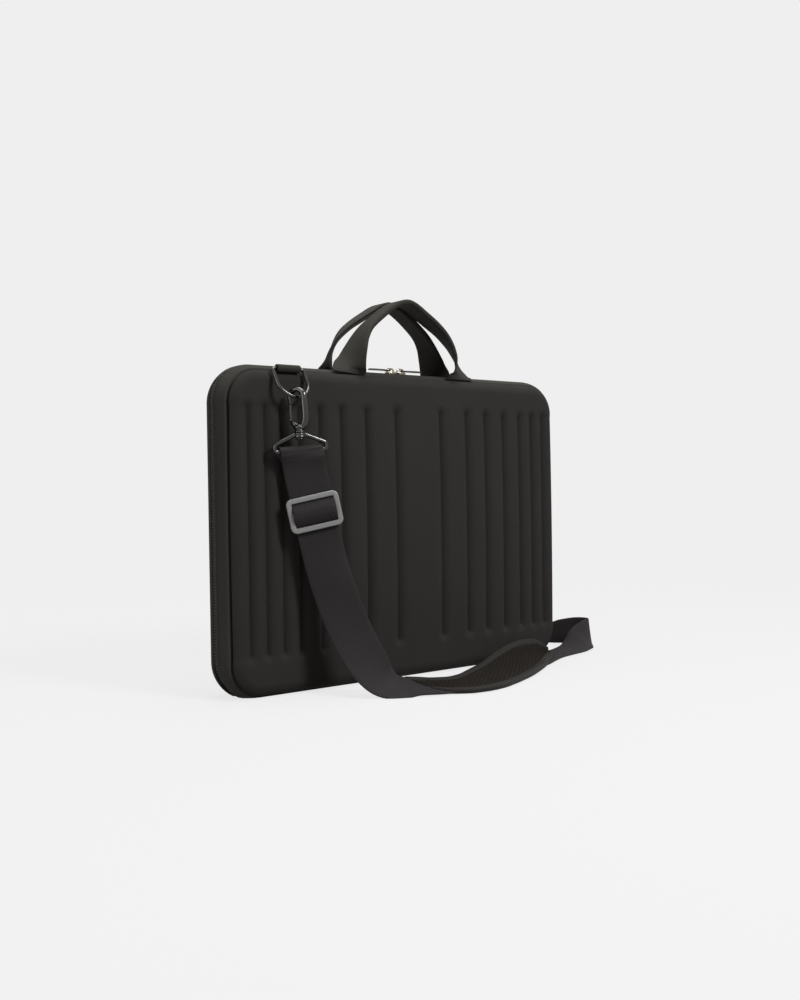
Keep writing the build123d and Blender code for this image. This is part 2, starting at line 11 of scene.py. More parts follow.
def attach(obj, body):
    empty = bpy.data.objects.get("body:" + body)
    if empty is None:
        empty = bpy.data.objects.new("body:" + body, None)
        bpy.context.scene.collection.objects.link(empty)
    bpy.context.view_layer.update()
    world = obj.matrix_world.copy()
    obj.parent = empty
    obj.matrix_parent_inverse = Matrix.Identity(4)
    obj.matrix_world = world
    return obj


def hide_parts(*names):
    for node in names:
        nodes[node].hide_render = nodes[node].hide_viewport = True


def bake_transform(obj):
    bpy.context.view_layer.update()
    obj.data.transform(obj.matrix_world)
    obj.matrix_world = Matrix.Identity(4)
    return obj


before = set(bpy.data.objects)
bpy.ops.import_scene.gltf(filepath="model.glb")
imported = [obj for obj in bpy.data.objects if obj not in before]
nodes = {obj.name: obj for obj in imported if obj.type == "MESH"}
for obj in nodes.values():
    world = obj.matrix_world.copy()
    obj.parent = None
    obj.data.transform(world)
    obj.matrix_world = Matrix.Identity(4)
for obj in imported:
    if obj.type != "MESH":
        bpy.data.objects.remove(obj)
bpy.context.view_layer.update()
scene = bpy.context.scene
print("frame loaded:", len(nodes), "nodes")


# camera
cameraView = {
    "place": (-0.655, -0.8495, 0.1834),
    "heading": 37.81,  # degrees to the right of +Y
    "pitch": -0.65,
    "roll": -0.89,
    "lens": 39.15,
    "sensor": 36.0,
}


def addCamera(view):
    camera = bpy.data.cameras.new("studioCamera")
    camera.sensor_fit = "VERTICAL"
    camera.sensor_height = view["sensor"]
    camera.lens = view["lens"]
    holder = bpy.data.objects.new("studioCamera", camera)
    turn = Matrix.Rotation(math.radians(-view["heading"]), 4, "Z")
    tilt = Matrix.Rotation(math.radians(90 + view["pitch"]), 4, "X")
    roll = Matrix.Rotation(math.radians(view["roll"]), 4, "Z")
    holder.matrix_world = Matrix.Translation(view["place"]) @ turn @ tilt @ roll
    scene.collection.objects.link(holder)
    scene.camera = holder


addCamera(cameraView)


# mesh helpers: a part is its points, its faces and the weave coordinates of each face
def makePiece(name, part, material, smooth=True):
    verts, faces, faceUvs = part
    mesh = bpy.data.meshes.new(name)
    mesh.from_pydata([tuple(v) for v in verts], [], faces)
    if faceUvs:
        layer = mesh.uv_layers.new(name="weave")
        for face, uvs in zip(mesh.polygons, faceUvs):
            for loop, uv in zip(face.loop_indices, uvs):
                layer.data[loop].uv = uv
    work = bmesh.new()
    work.from_mesh(mesh)
    bmesh.ops.recalc_face_normals(work, faces=work.faces)
    work.to_mesh(mesh)
    work.free()
    mesh.materials.append(material)
    for face in mesh.polygons:
        face.use_smooth = smooth
    piece = bpy.data.objects.new(name, mesh)
    scene.collection.objects.link(piece)
    return piece


def dress(name, part, finishName, slot, body, *solids, smooth=True):
    # a piece in its finish, on the body it rides on, in place of its solids
    piece = makePiece(name, part, finish[finishName], smooth)
    if body:
        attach(piece, body)
    if solids:
        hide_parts(*solids)
    return piece


def joinParts(*parts):  # (verts, faces, faceUvs) of each, made one
    verts, faces, uvs = [], [], []
    for partVerts, partFaces, partUvs in parts:
        start = len(verts)
        verts += partVerts
        faces += [tuple(i + start for i in face) for face in partFaces]
        uvs += partUvs
    return verts, faces, uvs


def sweep(frames, sections, closedPath=False):
    # frames are (origin, axisA, axisB), sections hold (a, b) points in those axes
    verts, faces, uvs = [], [], []
    count = len(sections[0])
    along = [0.0]
    for previous, current in zip(frames, frames[1:]):
        along.append(along[-1] + (current[0] - previous[0]).length)
    middle = sections[len(sections) // 2]
    around = [0.0]
    for j in range(count):
        a, b = middle[j], middle[(j + 1) % count]
        around.append(around[-1] + math.hypot(b[0] - a[0], b[1] - a[1]))
    for (origin, axisA, axisB), section in zip(frames, sections):
        verts += [origin + axisA * a + axisB * b for a, b in section]
    rings = len(frames)
    closing = along[-1] + (frames[0][0] - frames[-1][0]).length
    for i in range(rings if closedPath else rings - 1):
        here, ahead = i * count, (i + 1) % rings * count
        end = along[i + 1] if i + 1 < rings else closing
        for j in range(count):
            k = (j + 1) % count
            faces.append((here + j, here + k, ahead + k, ahead + j))
            uvs.append(((around[j], along[i]), (around[j + 1], along[i]),
                        (around[j + 1], end), (around[j], end)))
    if not closedPath:
        for ring in (0, rings - 1):
            faces.append(tuple(ring * count + j for j in range(count)))
            uvs.append(tuple((a, b) for a, b in sections[ring]))
    return verts, faces, uvs


def catmull(values, steps):
    # smooth curve through rows of numbers, with the same number of steps in each span
    rows = [list(row) for row in values]
    first = [2 * a - b for a, b in zip(rows[0], rows[1])]
    last = [2 * a - b for a, b in zip(rows[-1], rows[-2])]
    rows = [first] + rows + [last]
    result = []
    for i in range(1, len(rows) - 2):
        p0, p1, p2, p3 = rows[i - 1:i + 3]
        for step in range(steps):
            t = step / steps
            result.append([0.5 * (2 * b + (c - a) * t + (2 * a - 5 * b + 4 * c - d) * t * t
                                  + (3 * b - a - 3 * c + d) * t ** 3)
                           for a, b, c, d in zip(p0, p1, p2, p3)])
    result.append(rows[-2])
    return result


def smoothCurve(points, steps):
    return [Vector(point) for point in catmull(points, steps)]


def pathFrames(points, closedPath=False):
    # frames that turn as little as they can along the points
    points = [Vector(p) for p in points]
    count = len(points)
    tangents = []
    for i in range(count):
        if closedPath:
            tangents.append((points[(i + 1) % count] - points[i - 1]).normalized())
        else:
            tangents.append((points[min(i + 1, count - 1)] - points[max(i - 1, 0)]).normalized())
    seed = Vector((0, 0, 1)) if abs(tangents[0].z) < 0.9 else Vector((1, 0, 0))
    normal = (seed - tangents[0] * seed.dot(tangents[0])).normalized()
    frames = []
    for point, tangent in zip(points, tangents):
        normal = (normal - tangent * normal.dot(tangent)).normalized()
        frames.append((point, normal, tangent.cross(normal)))
    return frames


def stripFrames(points, acrosses):
    # frames along a band; acrosses holds the direction across it at each point
    frames = []
    for i, (point, across) in enumerate(zip(points, acrosses)):
        tangent = (points[min(i + 1, len(points) - 1)] - points[max(i - 1, 0)]).normalized()
        across = (across - tangent * across.dot(tangent)).normalized()
        frames.append((point, across, tangent.cross(across)))
    return frames


def lengthAlong(frames):
    return sum((b[0] - a[0]).length for a, b in zip(frames, frames[1:]))


def circle(radius, sides):
    angles = [2 * math.pi * i / sides for i in range(sides)]
    return [(radius * math.cos(angle), radius * math.sin(angle)) for angle in angles]


def tube(points, radius, sides=12, closedPath=False):
    # radius is one number or one for each point; open ends are domed
    frames = pathFrames(points, closedPath)
    radii = list(radius) if isinstance(radius, (list, tuple)) else [radius] * len(frames)
    domeAngles = (0.5, 1.0, 1.4)
    if not closedPath:
        for end, ahead in ((0, 1), (-1, -2)):
            origin, axisA, axisB = frames[end]
            out = (origin - frames[ahead][0]).normalized()
            dome = [(origin + out * (radii[end] * math.sin(a)), axisA, axisB) for a in domeAngles]
            sizes = [radii[end] * math.cos(a) for a in domeAngles]
            if end == 0:
                frames, radii = dome[::-1] + frames, sizes[::-1] + radii
            else:
                frames, radii = frames + dome, radii + sizes
    return sweep(frames, [circle(r, sides) for r in radii], closedPath)


def roundedPath(points, radius, steps=6, closedPath=False):
    # corners of a polyline turned with a radius, in any plane
    points = [Vector(p) for p in points]
    count = len(points)
    result = []
    for i, point in enumerate(points):
        if not closedPath and i in (0, count - 1):
            result.append(point)
            continue
        before = (points[i - 1] - point)
        after = (points[(i + 1) % count] - point)
        half = before.angle(after) / 2
        reach = min(radius / math.tan(half), before.length * 0.49, after.length * 0.49)
        start = point + before.normalized() * reach
        end = point + after.normalized() * reach
        for step in range(steps + 1):
            t = step / steps
            result.append(start * (1 - t) ** 2 + point * (2 * t * (1 - t)) + end * t ** 2)
    return result


def lathe(profile, origin, axis, sides):
    # profile holds (radius, height along the axis)
    axis = Vector(axis).normalized()
    side = axis.orthogonal().normalized()
    across = axis.cross(side)
    frames = [(Vector(origin) + axis * height, side, across) for radius, height in profile]
    return sweep(frames, [circle(max(radius, 1e-5), sides) for radius, height in profile])


def roundedSlab(width, height, radius, steps):
    # outline of a rounded rectangle about its middle
    points = []
    for cornerX, cornerY, start in ((1, 1, 0), (-1, 1, 90), (-1, -1, 180), (1, -1, 270)):
        for step in range(steps + 1):
            angle = math.radians(start + 90 * step / steps)
            points.append((cornerX * (width / 2 - radius) + radius * math.cos(angle),
                           cornerY * (height / 2 - radius) + radius * math.sin(angle)))
    return points


def slabSolid(outline, plane, thickness, bevel):
    # flat piece with its outline in plane (origin, axisA, axisB) and softly broken edges
    origin, axisA, axisB = plane
    normal = axisA.cross(axisB)
    low = [(0.0, bevel), (bevel * 0.3, bevel * 0.3), (bevel, 0.0)]
    layers = low + [(thickness - height, inset) for height, inset in low[::-1]]
    centreA = sum(a for a, b in outline) / len(outline)
    centreB = sum(b for a, b in outline) / len(outline)
    halfA = max(abs(a - centreA) for a, b in outline)
    halfB = max(abs(b - centreB) for a, b in outline)
    frames = [(origin + normal * height, axisA, axisB) for height, inset in layers]
    sections = [[(centreA + (a - centreA) * (1 - inset / halfA),
                  centreB + (b - centreB) * (1 - inset / halfB)) for a, b in outline]
                for height, inset in layers]
    return sweep(frames, sections)


def gridPart(rows, closed=False):
    # skin through rows of points; a closed one is a tube with capped ends
    verts, faces, uvs = [], [], []
    width = len(rows[0])
    for row in rows:
        verts += row
    lengths = [0.0]
    for a, b in zip(rows, rows[1:]):
        lengths.append(lengths[-1] + (b[width // 2] - a[width // 2]).length)
    middle = rows[len(rows) // 2]
    across = [0.0]
    for a, b in zip(middle, middle[1:] + middle[:1]):
        across.append(across[-1] + (b - a).length)
    for i in range(len(rows) - 1):
        here, ahead = i * width, (i + 1) * width
        for j in range(width if closed else width - 1):
            k = (j + 1) % width
            faces.append((here + j, here + k, ahead + k, ahead + j))
            uvs.append(((across[j], lengths[i]), (across[j + 1], lengths[i]),
                        (across[j + 1], lengths[i + 1]), (across[j], lengths[i + 1])))
    if closed:
        for i in (0, len(rows) - 1):
            faces.append(tuple(i * width + j for j in range(width)))
            uvs.append(tuple((across[j], lengths[i]) for j in range(width)))
    return verts, faces, uvs


# most pieces are made for the front half, and the rear half gets its own copy of them
def turnedFor(half, part):
    verts, faces, uvs = part
    return part if half == "front" else ([Vector((-v.x, -v.y, v.z)) for v in verts], faces, uvs)


def mirroredFor(half, part):
    if half == "front":
        return part
    verts, faces, uvs = part
    verts = [Vector((v.x, -v.y, v.z)) for v in verts]
    return verts, [face[::-1] for face in faces], [uv[::-1] for uv in uvs]


# materials
def newMaterial(name):
    material = bpy.data.materials.new(name)
    material.use_nodes = True
    tree = material.node_tree
    shader = tree.nodes["Principled BSDF"]
    return material, tree, shader


def link(tree, source, target):
    tree.links.new(source, target)


def setInputs(node, values):
    for name, value in values.items():
        node.inputs[name].default_value = value


def mathNode(tree, operation, first, second=None):
    node = tree.nodes.new("ShaderNodeMath")
    node.operation = operation
    for socket, value in zip(node.inputs, (first, second)):
        if value is None:
            continue
        if isinstance(value, (int, float)):
            socket.default_value = value
        else:
            link(tree, value, socket)
    return node.outputs[0]


def noise(tree, scale, detail):
    node = tree.nodes.new("ShaderNodeTexNoise")
    setInputs(node, {"Scale": scale, "Detail": detail})
    link(tree, tree.nodes.new("ShaderNodeTexCoord").outputs["Object"], node.inputs["Vector"])
    return node.outputs[0]


def addBump(tree, shader, height, strength, distance):
    bump = tree.nodes.new("ShaderNodeBump")
    setInputs(bump, {"Strength": strength, "Distance": distance})
    link(tree, height, bump.inputs["Height"])
    link(tree, bump.outputs[0], shader.inputs["Normal"])


def weaveHeight(tree, settings):
    # two thread directions, from the weave coordinates or the object's own; twill shifts the rows
    if settings["coords"] == "uv":
        source = tree.nodes.new("ShaderNodeUVMap")
        source.uv_map = "weave"
        coords, axes = source.outputs["UV"], (0, 1)
    else:
        coords, axes = tree.nodes.new("ShaderNodeTexCoord").outputs["Object"], (0, 2)
    split = tree.nodes.new("ShaderNodeSeparateXYZ")
    link(tree, coords, split.inputs[0])
    pitches = 2 * math.pi / settings["pitchAcross"], 2 * math.pi / settings["pitchAlong"]
    a, b = [mathNode(tree, "MULTIPLY", split.outputs[axis], pitch)
            for axis, pitch in zip(axes, pitches)]
    if settings["coords"] != "uv":
        a = mathNode(tree, "ADD", a, mathNode(tree, "MULTIPLY", split.outputs[1], pitches[0]))
    if settings["twill"]:
        b = mathNode(tree, "ADD", b, mathNode(tree, "MULTIPLY", a, settings["twill"]))
    height = mathNode(tree, "MULTIPLY", mathNode(tree, "SINE", a), mathNode(tree, "SINE", b))
    return mathNode(tree, "MULTIPLY", mathNode(tree, "ADD", height, 1.0), 0.5)


def colourMix(tree, factor, dark, light):
    ramp = tree.nodes.new("ShaderNodeValToRGB")
    ramp.color_ramp.elements[0].color = (*dark, 1)
    ramp.color_ramp.elements[1].color = (*light, 1)
    link(tree, factor, ramp.inputs[0])
    return ramp.outputs[0]


def fabric(name, settings):
    material, tree, shader = newMaterial(name)
    weave = weaveHeight(tree, settings)
    fuzz = noise(tree, settings["fuzzScale"], 4)
    wear = noise(tree, settings["wearScale"], 3)
    tone = mathNode(tree, "ADD", mathNode(tree, "MULTIPLY", weave, settings["weaveTone"]),
                    mathNode(tree, "MULTIPLY", wear, 1.0 - settings["weaveTone"]))
    colour = colourMix(tree, tone, settings["dark"], settings["light"])
    link(tree, colour, shader.inputs["Base Color"])
    height = mathNode(tree, "ADD", mathNode(tree, "MULTIPLY", weave, settings["weaveDepth"]),
                      mathNode(tree, "MULTIPLY", fuzz, settings["fuzzDepth"]))
    addBump(tree, shader, height, settings["bump"], 0.0005)
    setInputs(shader, {
        "Roughness": settings["roughness"], "Specular IOR Level": settings["specular"],
        "Sheen Weight": settings["sheen"], "Sheen Roughness": 0.4,
        "Sheen Tint": (*settings["sheenColour"], 1),
    })
    return material


def hardFinish(name, settings):
    # metal or plastic: even colour, fine scratches in the roughness and a slight skin
    material, tree, shader = newMaterial(name)
    grain = noise(tree, settings["grainScale"], 5)
    colour = colourMix(tree, grain, settings["dark"], settings["light"])
    link(tree, colour, shader.inputs["Base Color"])
    shine = tree.nodes.new("ShaderNodeMapRange")
    setInputs(shine, {
        "To Min": settings["roughness"] - settings["roughnessSpread"],
        "To Max": settings["roughness"] + settings["roughnessSpread"],
    })
    link(tree, grain, shine.inputs[0])
    link(tree, shine.outputs[0], shader.inputs["Roughness"])
    addBump(tree, shader, grain, settings["bump"], 0.0002)
    setInputs(shader, {
        "Metallic": settings["metallic"], "Specular IOR Level": settings["specular"],
        "Coat Weight": settings["coat"], "Coat Roughness": 0.15,
    })
    return material


fabrics = {
    "mouldedFabric": {
        "coords": "object", "pitchAcross": 0.0009, "pitchAlong": 0.0009, "twill": 0.0,
        "dark": (0.0180, 0.0166, 0.0156), "light": (0.0270, 0.0250, 0.0236), "weaveTone": 0.55,
        "weaveDepth": 0.5, "fuzzScale": 2600, "fuzzDepth": 0.8, "wearScale": 22, "bump": 0.35,
        "roughness": 0.88, "specular": 0.06, "sheen": 0.01, "sheenColour": (0.55, 0.53, 0.50),
    },
    "wallFabric": {
        "coords": "uv", "pitchAcross": 0.0008, "pitchAlong": 0.0008, "twill": 0.0,
        "dark": (0.0250, 0.0234, 0.0205), "light": (0.0395, 0.0371, 0.0330), "weaveTone": 0.55,
        "weaveDepth": 0.5, "fuzzScale": 2600, "fuzzDepth": 0.6, "wearScale": 25, "bump": 0.35,
        "roughness": 0.85, "specular": 0.06, "sheen": 0.01, "sheenColour": (0.55, 0.52, 0.48),
    },
    "webbing": {
        "coords": "uv", "pitchAcross": 0.0022, "pitchAlong": 0.0013, "twill": 0.35,
        "dark": (0.0124, 0.0107, 0.0114), "light": (0.0262, 0.0229, 0.0240), "weaveTone": 0.7,
        "weaveDepth": 1.0, "fuzzScale": 2200, "fuzzDepth": 0.5, "wearScale": 30, "bump": 0.55,
        "roughness": 0.7, "specular": 0.10, "sheen": 0.01, "sheenColour": (0.55, 0.54, 0.58),
    },
    "handleWebbing": {
        "coords": "uv", "pitchAcross": 0.0020, "pitchAlong": 0.0012, "twill": 0.35,
        "dark": (0.0165, 0.0150, 0.0124), "light": (0.0300, 0.0276, 0.0232), "weaveTone": 0.65,
        "weaveDepth": 1.0, "fuzzScale": 2200, "fuzzDepth": 0.6, "wearScale": 40, "bump": 0.5,
        "roughness": 0.72, "specular": 0.10, "sheen": 0.02, "sheenColour": (0.60, 0.56, 0.52),
    },
    "tapeFabric": {
        "coords": "uv", "pitchAcross": 0.0010, "pitchAlong": 0.0006, "twill": 0.5,
        "dark": (0.0140, 0.0128, 0.0105), "light": (0.0240, 0.0222, 0.0190), "weaveTone": 0.6,
        "weaveDepth": 1.0, "fuzzScale": 2400, "fuzzDepth": 0.4, "wearScale": 30, "bump": 0.5,
        "roughness": 0.7, "specular": 0.08, "sheen": 0.01, "sheenColour": (0.5, 0.5, 0.5),
    },
    "liningFabric": {
        "coords": "object", "pitchAcross": 0.0007, "pitchAlong": 0.0007, "twill": 0.5,
        "dark": (0.0110, 0.0110, 0.0115), "light": (0.0190, 0.0190, 0.0200), "weaveTone": 0.5,
        "weaveDepth": 0.6, "fuzzScale": 2400, "fuzzDepth": 0.3, "wearScale": 18, "bump": 0.3,
        "roughness": 0.6, "specular": 0.1, "sheen": 0.01, "sheenColour": (0.5, 0.5, 0.52),
    },
    "elasticFabric": {
        "coords": "uv", "pitchAcross": 0.0017, "pitchAlong": 0.0045, "twill": 0.0,
        "dark": (0.0080, 0.0080, 0.0085), "light": (0.0230, 0.0230, 0.0240), "weaveTone": 0.75,
        "weaveDepth": 1.0, "fuzzScale": 2200, "fuzzDepth": 0.4, "wearScale": 30, "bump": 0.7,
        "roughness": 0.65, "specular": 0.1, "sheen": 0.01, "sheenColour": (0.5, 0.5, 0.5),
    },
    "meshFabric": {
        "coords": "uv", "pitchAcross": 0.0016, "pitchAlong": 0.0016, "twill": 0.5,
        "dark": (0.0030, 0.0024, 0.0018), "light": (0.0165, 0.0138, 0.0108), "weaveTone": 0.85,
        "weaveDepth": 1.0, "fuzzScale": 1800, "fuzzDepth": 0.4, "wearScale": 30, "bump": 0.8,
        "roughness": 0.8, "specular": 0.06, "sheen": 0.01, "sheenColour": (0.55, 0.50, 0.45),
    },
    "bindingFabric": {
        "coords": "uv", "pitchAcross": 0.0010, "pitchAlong": 0.0010, "twill": 0.4,
        "dark": (0.0090, 0.0078, 0.0066), "light": (0.0175, 0.0156, 0.0136), "weaveTone": 0.6,
        "weaveDepth": 0.8, "fuzzScale": 2200, "fuzzDepth": 0.5, "wearScale": 30, "bump": 0.45,
        "roughness": 0.62, "specular": 0.12, "sheen": 0.02, "sheenColour": (0.58, 0.54, 0.50),
    },
    "thread": {
        "coords": "object", "pitchAcross": 0.0006, "pitchAlong": 0.0006, "twill": 0.6,
        "dark": (0.0140, 0.0135, 0.0130), "light": (0.0350, 0.0335, 0.0320), "weaveTone": 0.6,
        "weaveDepth": 1.0, "fuzzScale": 2500, "fuzzDepth": 0.3, "wearScale": 40, "bump": 0.4,
        "roughness": 0.5, "specular": 0.15, "sheen": 0.02, "sheenColour": (0.6, 0.6, 0.6),
    },
}
hardFinishes = {
    "coilPlastic": {
        "dark": (0.026, 0.0245, 0.021), "light": (0.044, 0.041, 0.036),
        "metallic": 0.0, "coat": 0.0,
        "specular": 0.2, "roughness": 0.46, "roughnessSpread": 0.08, "grainScale": 900, "bump": 0.1,
    },
    "blackMetal": {
        "dark": (0.050, 0.050, 0.049), "light": (0.068, 0.068, 0.066), "metallic": 1.0, "coat": 0.0,
        "specular": 0.5, "roughness": 0.2, "roughnessSpread": 0.06, "grainScale": 500, "bump": 0.08,
    },
    "glidePlastic": {
        "dark": (0.150, 0.149, 0.147), "light": (0.185, 0.184, 0.182), "metallic": 0.0, "coat": 0.0,
        "specular": 0.5, "roughness": 0.36, "roughnessSpread": 0.05, "grainScale": 1400,
        "bump": 0.15,
    },
    "brightMetal": {
        "dark": (0.30, 0.265, 0.20), "light": (0.46, 0.42, 0.33), "metallic": 1.0, "coat": 0.0,
        "specular": 0.5, "roughness": 0.2, "roughnessSpread": 0.06, "grainScale": 700, "bump": 0.06,
    },
    "smokedMetal": {
        "dark": (0.055, 0.053, 0.050), "light": (0.090, 0.087, 0.082), "metallic": 1.0, "coat": 0.3,
        "specular": 0.5, "roughness": 0.28, "roughnessSpread": 0.07, "grainScale": 600,
        "bump": 0.06,
    },
}
finish = {name: fabric(name, settings) for name, settings in fabrics.items()}
finish.update({name: hardFinish(name, settings) for name, settings in hardFinishes.items()})
print("materials ready:", len(finish))


# the case outline
caseShape = {
    "halfWidth": 0.2025,
    "top": 0.295,
    "bottom": -0.0035,
    "cornerRadius": 0.035,
    "cornerSteps": 20,
    "straightStep": 0.010,
    "zipFloorGap": 0.0004,
    "spineHalfLength": 0.142,
}


def outlineStations(bottom, openBelow=False):
    # (x, z, normalX, normalZ) round the widest outline; an open one starts and ends at the spine
    shape = caseShape
    halfWidth, top, radius = shape["halfWidth"], shape["top"], shape["cornerRadius"]
    start = shape["spineHalfLength"] if openBelow else 0.0
    corners = [(-1, -1, 270, -90), (-1, 1, 180, -90), (1, 1, 90, -90), (1, -1, 360, -90)]
    stations = []

    def straight(a, b, normal):
        length = math.hypot(b[0] - a[0], b[1] - a[1])
        steps = max(1, round(length / shape["straightStep"]))
        for i in range(steps):
            t = i / steps
            stations.append((a[0] + (b[0] - a[0]) * t, a[1] + (b[1] - a[1]) * t, *normal))

    previous = (-start, bottom)
    normal = (0, -1)
    for signX, signZ, startAngle, turn in corners:
        centre = (signX * (halfWidth - radius), (top if signZ > 0 else bottom) - signZ * radius)
        first = (centre[0] + radius * math.cos(math.radians(startAngle)),
                 centre[1] + radius * math.sin(math.radians(startAngle)))
        straight(previous, first, normal)
        for i in range(shape["cornerSteps"]):
            angle = math.radians(startAngle + turn * i / shape["cornerSteps"])
            normal = (math.cos(angle), math.sin(angle))
            stations.append((centre[0] + radius * normal[0], centre[1] + radius * normal[1],
                             *normal))
        angle = math.radians(startAngle + turn)
        normal = (math.cos(angle), math.sin(angle))
        previous = (centre[0] + radius * normal[0], centre[1] + radius * normal[1])
    straight(previous, (start, bottom), normal)
    if openBelow:
        stations.append((start, bottom, *normal))
    return stations


def bandFrames(stations):
    # frames whose first axis points inward and whose second points away from the middle plane
    return [(Vector((x, 0, z)), Vector((-normalX, 0, -normalZ)), Vector((0, -1, 0)))
            for x, z, normalX, normalZ in stations]


def flattened(part):
    verts, faces, uvs = part
    return [Vector((v.x, v.y, max(v.z, 0.0))) for v in verts], faces, uvs


# moulded shells
shellLook = {
    "setback": 0.0044,
    "shoulder": 0.012,
    "shoulderSteps": 10,
    "faceDepth": 0.028,
    "crownRadius": 7.0,
    "extraCrown": 0.0012,
    "crownReach": (0.186, 0.133),  # where the extra crown fades out, along and up
    "seamDepth": 0.0192,
    "flutes": (-0.1800, -0.1630, -0.1460, -0.1280, -0.1060, -0.0824, -0.0541, -0.0190,
               0.0364, 0.0704, 0.0962, 0.1216, 0.1450, 0.1629, 0.1795),
    "fluteBottom": 0.028,
    "fluteTop": 0.2655,
    "fluteDepth": 0.0053,
    "fluteHalfWidth": 0.0104,
    "fluteLip": 0.0001,
    "valleySoftness": 0.0004,
    "leastDepth": 0.0206,
    "columnOffsets": (0, 0.00035, 0.0009, 0.0017, 0.0028, 0.0042, 0.0060),  # from each valley
    "columnStep": 0.0024,
    "rowZones": ((0.028, 0.044, 0.0013), (0.044, 0.250, 0.006),
                 (0.250, 0.262, 0.0013)),  # from, to and step, finer at the flutes' ends
    "cornerSteps": 16,
    "rimSetback": 0.0086,
    "rimThickness": 0.0022,
    "rimDepth": 0.005,
    "rimRound": 0.0005,
    "weaveStep": 0.0014,
}
middleZ = (caseShape["top"] + caseShape["bottom"]) / 2


def faceDepth(x, z):
    look = shellLook
    radius = look["crownRadius"]
    depth = look["faceDepth"] - radius + math.sqrt(radius ** 2 - x ** 2 - (z - middleZ) ** 2)
    reachX, reachZ = look["crownReach"]
    depth += (look["extraCrown"] * max(0.0, 1 - (x / reachX) ** 2)
              * max(0.0, 1 - ((z - middleZ) / reachZ) ** 2))
    half, lip = look["fluteHalfWidth"], look["fluteLip"]
    low, high = look["fluteBottom"] + half, look["fluteTop"] - half
    beyond = max(0.0, low - z, z - high)
    rise = look["fluteDepth"] + lip
    arc = (half ** 2 + rise ** 2) / (2 * rise)
    for flute in look["flutes"]:
        q = math.hypot(x - flute, beyond)
        if q < half:
            q = math.sqrt(q ** 2 + look["valleySoftness"] ** 2 * (1 - q / half))
            depth += min(0.0, lip - arc + math.sqrt(max(0.0, arc ** 2 - (half - q) ** 2)))
    return max(depth, look["leastDepth"])


def spread(low, high, step):
    count = max(1, round((high - low) / step))
    return [low + (high - low) * i / count for i in range(count)]


def centreGrid(inset, columns, midRows, cornerSteps):
    # grid that fills the rounded outline at that setback, with its rim and the rim's normals
    halfX = caseShape["halfWidth"] - inset
    top, bottom = caseShape["top"] - inset, caseShape["bottom"] + inset
    radius = caseShape["cornerRadius"] - inset
    inner = halfX - 0.040  # columns bend only outside this
    rows = []
    for i in range(cornerSteps):
        angle = math.pi / 2 * (1 - i / cornerSteps)
        rows.append((bottom + radius - radius * math.sin(angle), angle, -1))
    rows += [(z, 0.0, 0) for z in midRows if bottom + radius <= z <= top - radius]
    for i in range(cornerSteps + 1):
        angle = math.pi / 2 * i / cornerSteps
        rows.append((top - radius + radius * math.sin(angle), angle, 1))
    points, faces = [], []
    for z, angle, side in rows:
        reach = halfX - radius + radius * math.cos(angle)
        for x in columns:
            size = abs(x)
            if size > inner:
                size = inner + (size - inner) * (reach - inner) / (halfX - inner)
            points.append((math.copysign(size, x), z))
    width, height = len(columns), len(rows)
    for i in range(height - 1):
        here, ahead = i * width, (i + 1) * width
        for j in range(width - 1):
            faces.append((here + j, here + j + 1, ahead + j + 1, ahead + j))
    rim, normals = [], []
    for j in range(width - 1):
        rim.append(j)
        normals.append((0, -1))
    for i in range(height - 1):
        rim.append(i * width + width - 1)
        z, angle, side = rows[i]
        normals.append((math.cos(angle), side * math.sin(angle)) if side else (1, 0))
    for j in range(width - 1, 0, -1):
        rim.append((height - 1) * width + j)
        normals.append((0, 1))
    for i in range(height - 1, 0, -1):
        rim.append(i * width)
        z, angle, side = rows[i]
        normals.append((-math.cos(angle), side * math.sin(angle)) if side else (-1, 0))
    return points, faces, rim, normals


def addSkirt(part, rim, levels, along, step):
    # rings of points outside a grid's rim, each joined to the one before
    verts, faces, uvs = part
    ring = rim
    for level, points in enumerate(levels):
        following = list(range(len(verts), len(verts) + len(rim)))
        verts += points
        v0, v1 = level * step, (level + 1) * step
        for i in range(len(rim)):
            j = (i + 1) % len(rim)
            faces.append((ring[i], following[i], following[j], ring[j]))
            uvs.append(((along[i], v0), (along[i], v1), (along[i + 1], v1), (along[i + 1], v0)))
        ring = following
    return part


def shellColumns():
    # columns crowd towards each valley
    look = shellLook
    limit = caseShape["halfWidth"] - look["setback"] - look["shoulder"]
    marks = {-limit, limit}
    for flute in look["flutes"]:
        for offset in look["columnOffsets"]:
            marks.update({flute - offset, flute + offset})
    marks = sorted(mark for mark in marks if abs(mark) <= limit)
    result = []
    for left, right in zip(marks, marks[1:]):
        result += spread(left, right, look["columnStep"])
    return result + [limit]


def edgeProfile(depth):
    # (outward, depth) over the shoulder, into the seam and down the stiff rim
    look = shellLook
    shoulder, seam, soft = look["shoulder"], look["seamDepth"], look["rimRound"]
    arcCentre = depth - shoulder
    endAngle = math.acos(min(1.0, (seam - arcCentre) / shoulder))
    angles = [endAngle * k / look["shoulderSteps"] for k in range(1, look["shoulderSteps"] + 1)]
    profile = [(shoulder * math.sin(a), arcCentre + shoulder * math.cos(a)) for a in angles]
    reach, edge = profile[-1][0], look["rimDepth"]
    outer = look["setback"] + shoulder - look["rimSetback"]
    inner = outer - look["rimThickness"]
    return profile + [
        (reach - 0.0004, seam - soft), (reach - 0.0016, seam - soft), (outer, seam - 0.0004),
        (outer, edge + soft), (outer - soft, edge), (inner + soft, edge), (inner, edge + soft),
        (inner, edge + 0.003),
    ]


